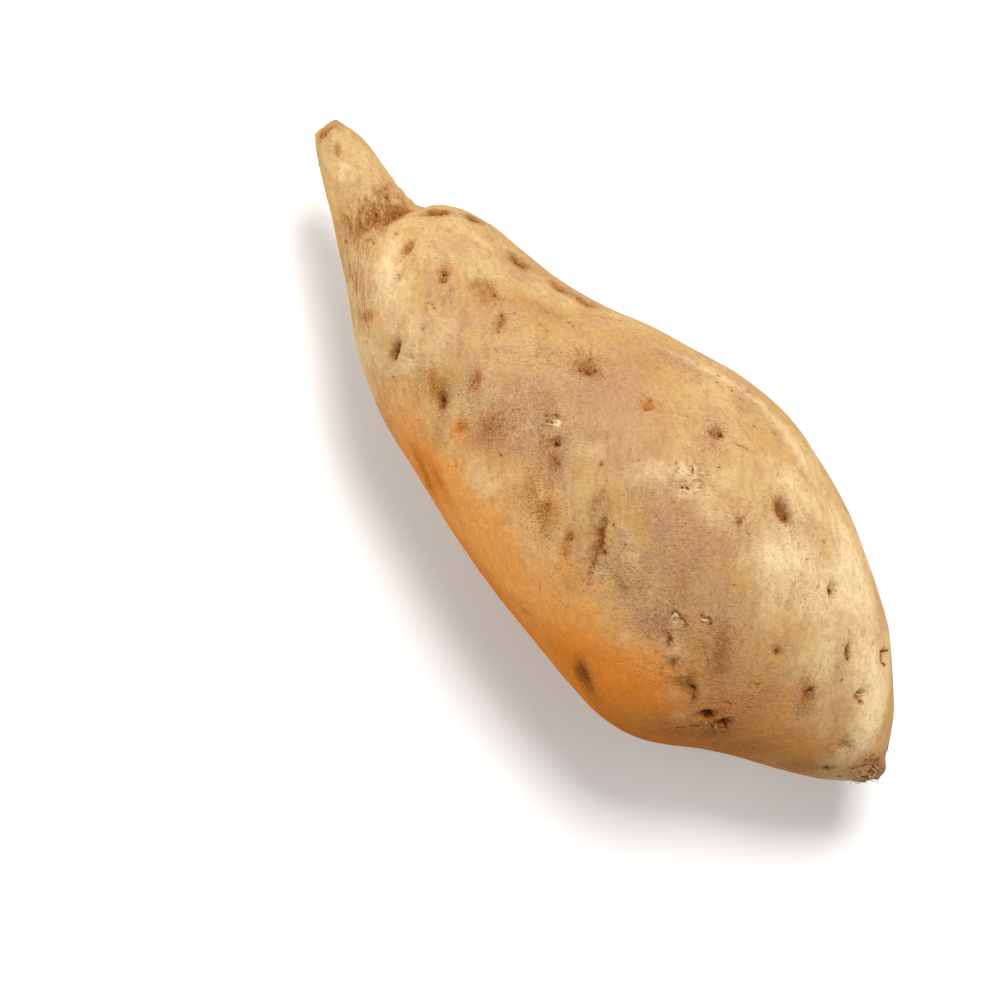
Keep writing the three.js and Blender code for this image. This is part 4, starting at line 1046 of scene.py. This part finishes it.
# Colours of the skin, as red, green and blue from 0 to 255
YELLOW, GOLDEN, PINKISH = (196, 164, 112), (184, 144, 88), (182, 143, 101)
# The orange is the skin's own orange and also painted orange light reflected onto the near flank; the
# pale is pale skin and also painted highlight.
TAN, MAUVE, ORANGE_AND_PAINTED_GLOW, PALE = (178, 134, 82), (170, 128, 96), (242, 161, 76), (230, 205, 158)
# The amber is painted shade with painted reflected orange light on the near flank; the brown is brown
# skin and also painted shade along the lower edge.
PAINTED_GLOW_AND_SHADE, BROWN, DEEP_BROWN, DARK = (212, 118, 20), (144, 86, 32), (124, 68, 24), (76, 38, 12)
FLECK, PALE_FLECK, TAIL_BROWN = (128, 84, 42), (212, 184, 140), (116, 76, 42)
ROOTLET_BROWN, ROOTLET_PALE = (118, 80, 46), (228, 208, 172)

# The curve from a screen's values to linear ones
CURVE_SHIFT, CURVE_POWER = 0.055, 2.4

# The depth in millimetres of the fine bumps of skin and rootlets, how much these shine, and what
# makes one noise unlike another
SKIN_BUMP, SKIN_SPECULAR = 0.13, 0.01
NOISE_MEAN, NOISE_SHIFT = 0.5, (37, 11, 23)

# Noise over the skin: its size, its detail and its roughness
BROAD, MEDIUM, SMALL, FINE = (26,), (8, 3), (2.2, 3), (0.7, 3)
BLOTCHES, SPOTS, SPECKS = (11, 4), (1.1, 1), (0.45, 2, 0.6)

# Noise drawn out along a turn: the turn, its length and width, its detail and its roughness
FIBRE, CROSS_FIBRE = (38, 1.3, 0.42, 3, 0.6), (128, 1.1, 0.4, 3, 0.6)
NECK_FIBRE, BRUSHED = (135, 4.5, 0.7, 3, 0.6), (140, 7, 1.3, 3, 0.6)
SCRATCHES = (50, 3.2, 0.3)

# Smooth steps over the noise or a layer: where one starts and ends, and what it goes from and to
GOLDEN_STEP, PINKISH_STEP = (0.4, 0.6), (0.42, 0.68, 0, 0.8)
BLOTCH_STEP, BRUSHED_STEP = (0.5, 0.72, 0, 0.55), (0.5, 0.72, 0, 0.5)
FEWER_ON_PAINTED_LIGHT_STEP, SPOT_STEP, SPOT_PLACES = (0.1, 0.8, 1, 0.3), (0.67, 0.76, 0, 0.6), (0.42, 0.6)
SCRATCH_STEP, SPECK_STEP = (0.6, 0.72, 0, 0.7), (0.51, 0.64)
FINE_LIGHT, SMALL_LIGHT = (0.3, 0.7, 0.93, 1.05), (0.3, 0.7, 0.95, 1.04)
BRUSHED_LIGHT, DARK_STEP = (0.3, 0.7, 1.07, 0.95), (0.36, 0.62, 0.25, 1.6)
SKIN_ROUGHNESS = (0.3, 0.7, 0.56, 0.72)
ROOTLET_NOISE, ROOTLET_LIGHT, ROOTLET_ROUGHNESS = 0.6, (0.3, 0.7, 0.75, 1.15), (0.3, 0.7, 0.6, 0.8)

# The skin's coloured layers in the order they are laid on: the layer, its colour, where on the
# layer it starts and where it is full, its greatest share, and how far noise breaks its edge up
SKIN_COATS = [
    ("tan", TAN, 0.04, 1.0, 0.9, 0.4),
    ("mauve", MAUVE, 0.08, 1.0, 0.85, 0.5),
    # The orange, amber, pale and brown coats lay on the painted light of their patches as well as the
    # skin's colours: reflected orange light and shade on the near flank, highlight, and shade along the
    # lower edge.
    ("orange_and_painted_glow", ORANGE_AND_PAINTED_GLOW, 0.03, 1.0, 0.9, 0.3),
    ("painted_glow_and_shade", PAINTED_GLOW_AND_SHADE, 0.03, 1.0, 0.95, 0.2),
    ("pale", PALE, 0.12, 1.0, 0.8, 0.45),
    ("brown", BROWN, 0.1, 1.0, 0.88, 0.8),
    ("tail", TAIL_BROWN, 0.15, 1.0, 0.55, 1.0),
]

# Streaks along the neck: the step over its noise, the share and the colour
STREAKS = [((0.5, 0.66), 0.75, BROWN), ((0.48, 0.34), 0.4, PALE)]

# Flecks along and across the fibres: the step over their noise, how much more of them there are on
# rough and blotchy skin, how many there are elsewhere, and the colour
FLECKS = [((0.48, 0.3), 0.75, 0.2, FLECK), ((0.53, 0.7), 0.36, 0.15, PALE_FLECK)]
BLOTCH_FLECKS = 0.6
SCRATCHES_ON_GRAIN, SCRATCHES_ELSEWHERE = 0.6, 0.3

# Crusty specks: how many there are on grain, on brown and on the tail
GRAIN_SPECKS, BROWN_SPECKS, TAIL_SPECKS = 0.35, 0.55, 0.6

# Dark marks: the steps over their layer, and the colours
DARK_COATS = [((0.15, 0.85, 0, 0.8), DEEP_BROWN), ((0.7, 1.25, 0, 0.9), DARK)]

# How high each noise stands in the bumps. All but the small noise stand higher on rough skin: they
# have one factor on smooth skin and another that roughness adds to it.
FIBRE_BUMPS, CROSS_BUMPS, FINE_BUMPS, SMALL_BUMPS = 0.9, 0.8, 0.5, 0.8
SMOOTH_BUMPS, ROUGH_BUMPS = 0.6, 1.3


def tone(red, green, blue):
    """A colour from 0 to 255 as the linear values that a shader takes."""
    screen = [value / 255 for value in (red, green, blue)]
    return (*[((value + CURVE_SHIFT) / (1 + CURVE_SHIFT)) ** CURVE_POWER for value in screen], 1)


class Shader:
    """Builds a material's nodes, a call for each node."""

    def __init__(self, name):
        self.material = bpy.data.materials.new(name)
        self.material.use_nodes = True
        self.tree = self.material.node_tree
        self.tree.nodes.clear()

    def add(self, kind, settings, inputs):
        made = self.tree.nodes.new(kind)
        for name, value in settings.items():
            setattr(made, name, value)
        for name, value in inputs.items():
            if isinstance(value, bpy.types.NodeSocket):
                self.tree.links.new(value, made.inputs[name])
            else:
                made.inputs[name].default_value = value
        return made

    def math(self, operation, *values):
        return self.add("ShaderNodeMath", {"operation": operation}, dict(enumerate(values))).outputs[0]

    def times(self, a, b):
        return self.math("MULTIPLY", a, b)

    def weighed(self, value, weight, base):
        """A value times its weight, on top of a base."""
        return self.math("MULTIPLY_ADD", value, weight, base)

    def blend(self, share, a, b):
        return self.add("ShaderNodeMix", {"data_type": "RGBA"}, {0: share, 6: a, 7: b}).outputs[2]

    def painted(self, colour, share, paint):
        """A colour with a share of a paint over it."""
        return self.blend(share, colour, tone(*paint))

    def ramp(self, value, low, high, to_low=0.0, to_high=1.0):
        """A smooth step from to_low to to_high while the value goes from low to high."""
        inputs = {"Value": value, "From Min": low, "From Max": high, "To Min": to_low, "To Max": to_high}
        return self.add("ShaderNodeMapRange", {"interpolation_type": "SMOOTHSTEP"}, inputs).outputs[0]

    def place(self):
        """Where a point is on the object, in millimetres."""
        metres = self.add("ShaderNodeTexCoord", {}, {}).outputs["Object"]
        inputs = {0: metres, 1: (1 / METRES,) * 3}
        return self.add("ShaderNodeVectorMath", {"operation": "MULTIPLY"}, inputs).outputs[0]

    def moved(self, place):
        """Other coordinates, for noise that is unlike the noise of the same size in place."""
        inputs = {"Vector": place, "Location": NOISE_SHIFT}
        return self.add("ShaderNodeMapping", {"vector_type": "POINT"}, inputs).outputs[0]

    def noise(self, place, size, detail=2.0, roughness=0.55):
        inputs = {"Vector": place, "Scale": 1 / size, "Detail": detail, "Roughness": roughness}
        return self.add("ShaderNodeTexNoise", {}, inputs).outputs[0]

    def drawn_out(self, place, turn, long, short, *detail):
        """Noise that is drawn out along a turn."""
        inputs = {"Vector": place, "Rotation": (0, 0, math.radians(turn)), "Scale": (long, short, short)}
        stretched = self.add("ShaderNodeMapping", {"vector_type": "TEXTURE"}, inputs).outputs[0]
        return self.noise(stretched, 1, *detail)

    def layer(self, name):
        return self.add("ShaderNodeAttribute", {"attribute_name": name}, {}).outputs["Fac"]

    def broken(self, layer, grain, amount):
        """A layer with its edge broken up by noise."""
        return self.weighed(self.math("SUBTRACT", grain, NOISE_MEAN), amount, layer)

    def scaled(self, colour, factor):
        inputs = {0: colour, 3: factor}
        return self.add("ShaderNodeVectorMath", {"operation": "SCALE"}, inputs).outputs[0]

    def finish(self, colour, roughness, height):
        inputs = {"Strength": 1.0, "Distance": SKIN_BUMP * METRES, "Height": height}
        bump = self.add("ShaderNodeBump", {}, inputs).outputs[0]
        inputs = {
            "Base Color": colour, "Roughness": roughness, "Normal": bump,
            "Specular IOR Level": SKIN_SPECULAR,
        }
        surface = self.add("ShaderNodeBsdfPrincipled", {}, inputs).outputs[0]
        self.add("ShaderNodeOutputMaterial", {}, {"Surface": surface})
        return self.material


def skin_material():
    shader = Shader("skin")
    place = shader.place()
    broad, medium, small, fine = [shader.noise(place, *kind) for kind in (BROAD, MEDIUM, SMALL, FINE)]
    fibre, cross_fibre, along_neck, brushed = [
        shader.drawn_out(place, *kind) for kind in (FIBRE, CROSS_FIBRE, NECK_FIBRE, BRUSHED)
    ]
    specks = shader.noise(place, *SPECKS)
    rough_patch = shader.layer("grain")

    # The ground
    colour = shader.blend(shader.ramp(broad, *GOLDEN_STEP), tone(*YELLOW), tone(*GOLDEN))
    colour = shader.painted(colour, shader.ramp(medium, *PINKISH_STEP), PINKISH)
    blotch = shader.ramp(shader.noise(shader.moved(place), *BLOTCHES), *BLOTCH_STEP)
    colour = shader.painted(colour, blotch, MAUVE)
    colour = shader.painted(colour, shader.ramp(brushed, *BRUSHED_STEP), MAUVE)

    # The coloured layers and the streaks
    for layer, paint, start, full, most, broken in SKIN_COATS:
        amount = shader.broken(shader.layer(layer), small, broken)
        colour = shader.painted(colour, shader.ramp(amount, start, full, 0, most), paint)
    for step, share, paint in STREAKS:
        streaked = shader.times(shader.layer("streak"), shader.ramp(along_neck, *step))
        colour = shader.painted(colour, shader.times(streaked, share), paint)

    # Flecks and spots, with fewer where shade and orange light are painted, and scratches and specks
    flecked = shader.weighed(blotch, BLOTCH_FLECKS, rough_patch)
    fewer_on_painted_light = shader.ramp(shader.layer("painted_glow_and_shade"), *FEWER_ON_PAINTED_LIGHT_STEP)
    for grain, (step, more, least, paint) in zip((fibre, cross_fibre), FLECKS):
        flecks = shader.times(shader.ramp(grain, *step), shader.weighed(flecked, more, least))
        colour = shader.painted(colour, shader.times(flecks, fewer_on_painted_light), paint)
    crusty = shader.weighed(shader.layer("brown"), BROWN_SPECKS, shader.times(rough_patch, GRAIN_SPECKS))
    crusty = shader.weighed(shader.layer("tail"), TAIL_SPECKS, crusty)
    spots = shader.ramp(shader.noise(shader.moved(place), *SPOTS), *SPOT_STEP)
    spotted = shader.times(spots, shader.ramp(medium, *SPOT_PLACES))
    colour = shader.painted(colour, shader.times(spotted, fewer_on_painted_light), FLECK)
    scratches = shader.ramp(shader.drawn_out(place, *SCRATCHES), *SCRATCH_STEP)
    scratchy = shader.weighed(rough_patch, SCRATCHES_ON_GRAIN, SCRATCHES_ELSEWHERE)
    colour = shader.painted(colour, shader.times(scratches, scratchy), BROWN)
    colour = shader.painted(colour, shader.times(shader.ramp(specks, *SPECK_STEP), crusty), DEEP_BROWN)

    # Lighter and darker grain, and the dark marks
    light = shader.times(shader.ramp(fine, *FINE_LIGHT), shader.ramp(small, *SMALL_LIGHT))
    light = shader.times(light, shader.ramp(brushed, *BRUSHED_LIGHT))
    colour = shader.scaled(colour, light)
    dark = shader.times(shader.layer("dark"), shader.ramp(fine, *DARK_STEP))
    for step, paint in DARK_COATS:
        colour = shader.painted(colour, shader.ramp(dark, *step), paint)

    height = shader.weighed(fibre, FIBRE_BUMPS, shader.times(cross_fibre, CROSS_BUMPS))
    height = shader.weighed(fine, FINE_BUMPS, height)
    height = shader.times(height, shader.weighed(flecked, ROUGH_BUMPS, SMOOTH_BUMPS))
    height = shader.weighed(small, SMALL_BUMPS, height)
    return shader.finish(colour, shader.ramp(medium, *SKIN_ROUGHNESS), height)


def rootlet_material():
    shader = Shader("rootlets")
    fine = shader.noise(shader.place(), ROOTLET_NOISE)
    colour = shader.blend(shader.layer("pale"), tone(*ROOTLET_BROWN), tone(*ROOTLET_PALE))
    colour = shader.scaled(colour, shader.ramp(fine, *ROOTLET_LIGHT))
    return shader.finish(colour, shader.ramp(fine, *ROOTLET_ROUGHNESS), fine)


def floor_material():
    shader = Shader("floor")
    white = (FLOOR_BRIGHTNESS, FLOOR_BRIGHTNESS, FLOOR_BRIGHTNESS, 1)
    inputs = {"Base Color": white, "Roughness": FLOOR_ROUGHNESS}
    surface = shader.add("ShaderNodeBsdfPrincipled", {}, inputs).outputs[0]
    shader.add("ShaderNodeOutputMaterial", {}, {"Surface": surface})
    return shader.material


def ground_point(right, up):
    """A place on the floor that the camera sees so far right of and above the frame's origin."""
    angle = math.radians(CAMERA_TURN)
    rightward, upward = (math.cos(angle), math.sin(angle)), (-math.sin(angle), math.cos(angle))
    return [right * rightward[i] + up * upward[i] for i in range(2)]


def make_light(name, right, up, height, size, power, colour, target):
    """An area light that faces a target, both given by how far right and up the camera sees them."""
    lamp = bpy.data.lights.new(name, "AREA")
    lamp.size, lamp.energy, lamp.color = size, power, colour
    piece = bpy.data.objects.new(name, lamp)
    piece.location = Vector((*ground_point(right, up), height))
    aim = Vector((*ground_point(*target[:2]), target[2]))
    piece.rotation_euler = (aim - piece.location).to_track_quat("-Z", "Y").to_euler()
    bpy.context.collection.objects.link(piece)


def make_surroundings():
    """A plain white floor, a white sky and soft studio lights."""
    reach = FLOOR_SIZE / 2
    corners = np.array([(-reach, -reach, 0), (reach, -reach, 0), (reach, reach, 0), (-reach, reach, 0)])
    floor = new_object("floor", corners, np.array([[0, 1, 2, 3]]))
    floor.data.materials.append(floor_material())
    world = bpy.data.worlds.new("sky")
    world.use_nodes = True
    background = world.node_tree.nodes["Background"]
    background.inputs["Color"].default_value = (*SKY_COLOUR, 1)
    background.inputs["Strength"].default_value = SKY_STRENGTH
    bpy.context.scene.world = world
    for light in LIGHTS:
        make_light(*light)
    bpy.context.scene.view_settings.view_transform = "Standard"


def make_camera():
    camera = bpy.data.objects.new("camera", bpy.data.cameras.new("camera"))
    camera.data.lens, camera.data.sensor_width = CAMERA_LENS, CAMERA_SENSOR
    camera.location = CAMERA_PLACE
    camera.rotation_euler = (0, 0, math.radians(CAMERA_TURN))
    bpy.context.collection.objects.link(camera)
    bpy.context.scene.camera = camera


skin = make_skin()
skin.data.materials.append(skin_material())
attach(skin, "root")
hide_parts("storage_root")

rootlets = make_rootlets()
rootlets.data.materials.append(rootlet_material())
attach(rootlets, "root")

make_surroundings()
make_camera()
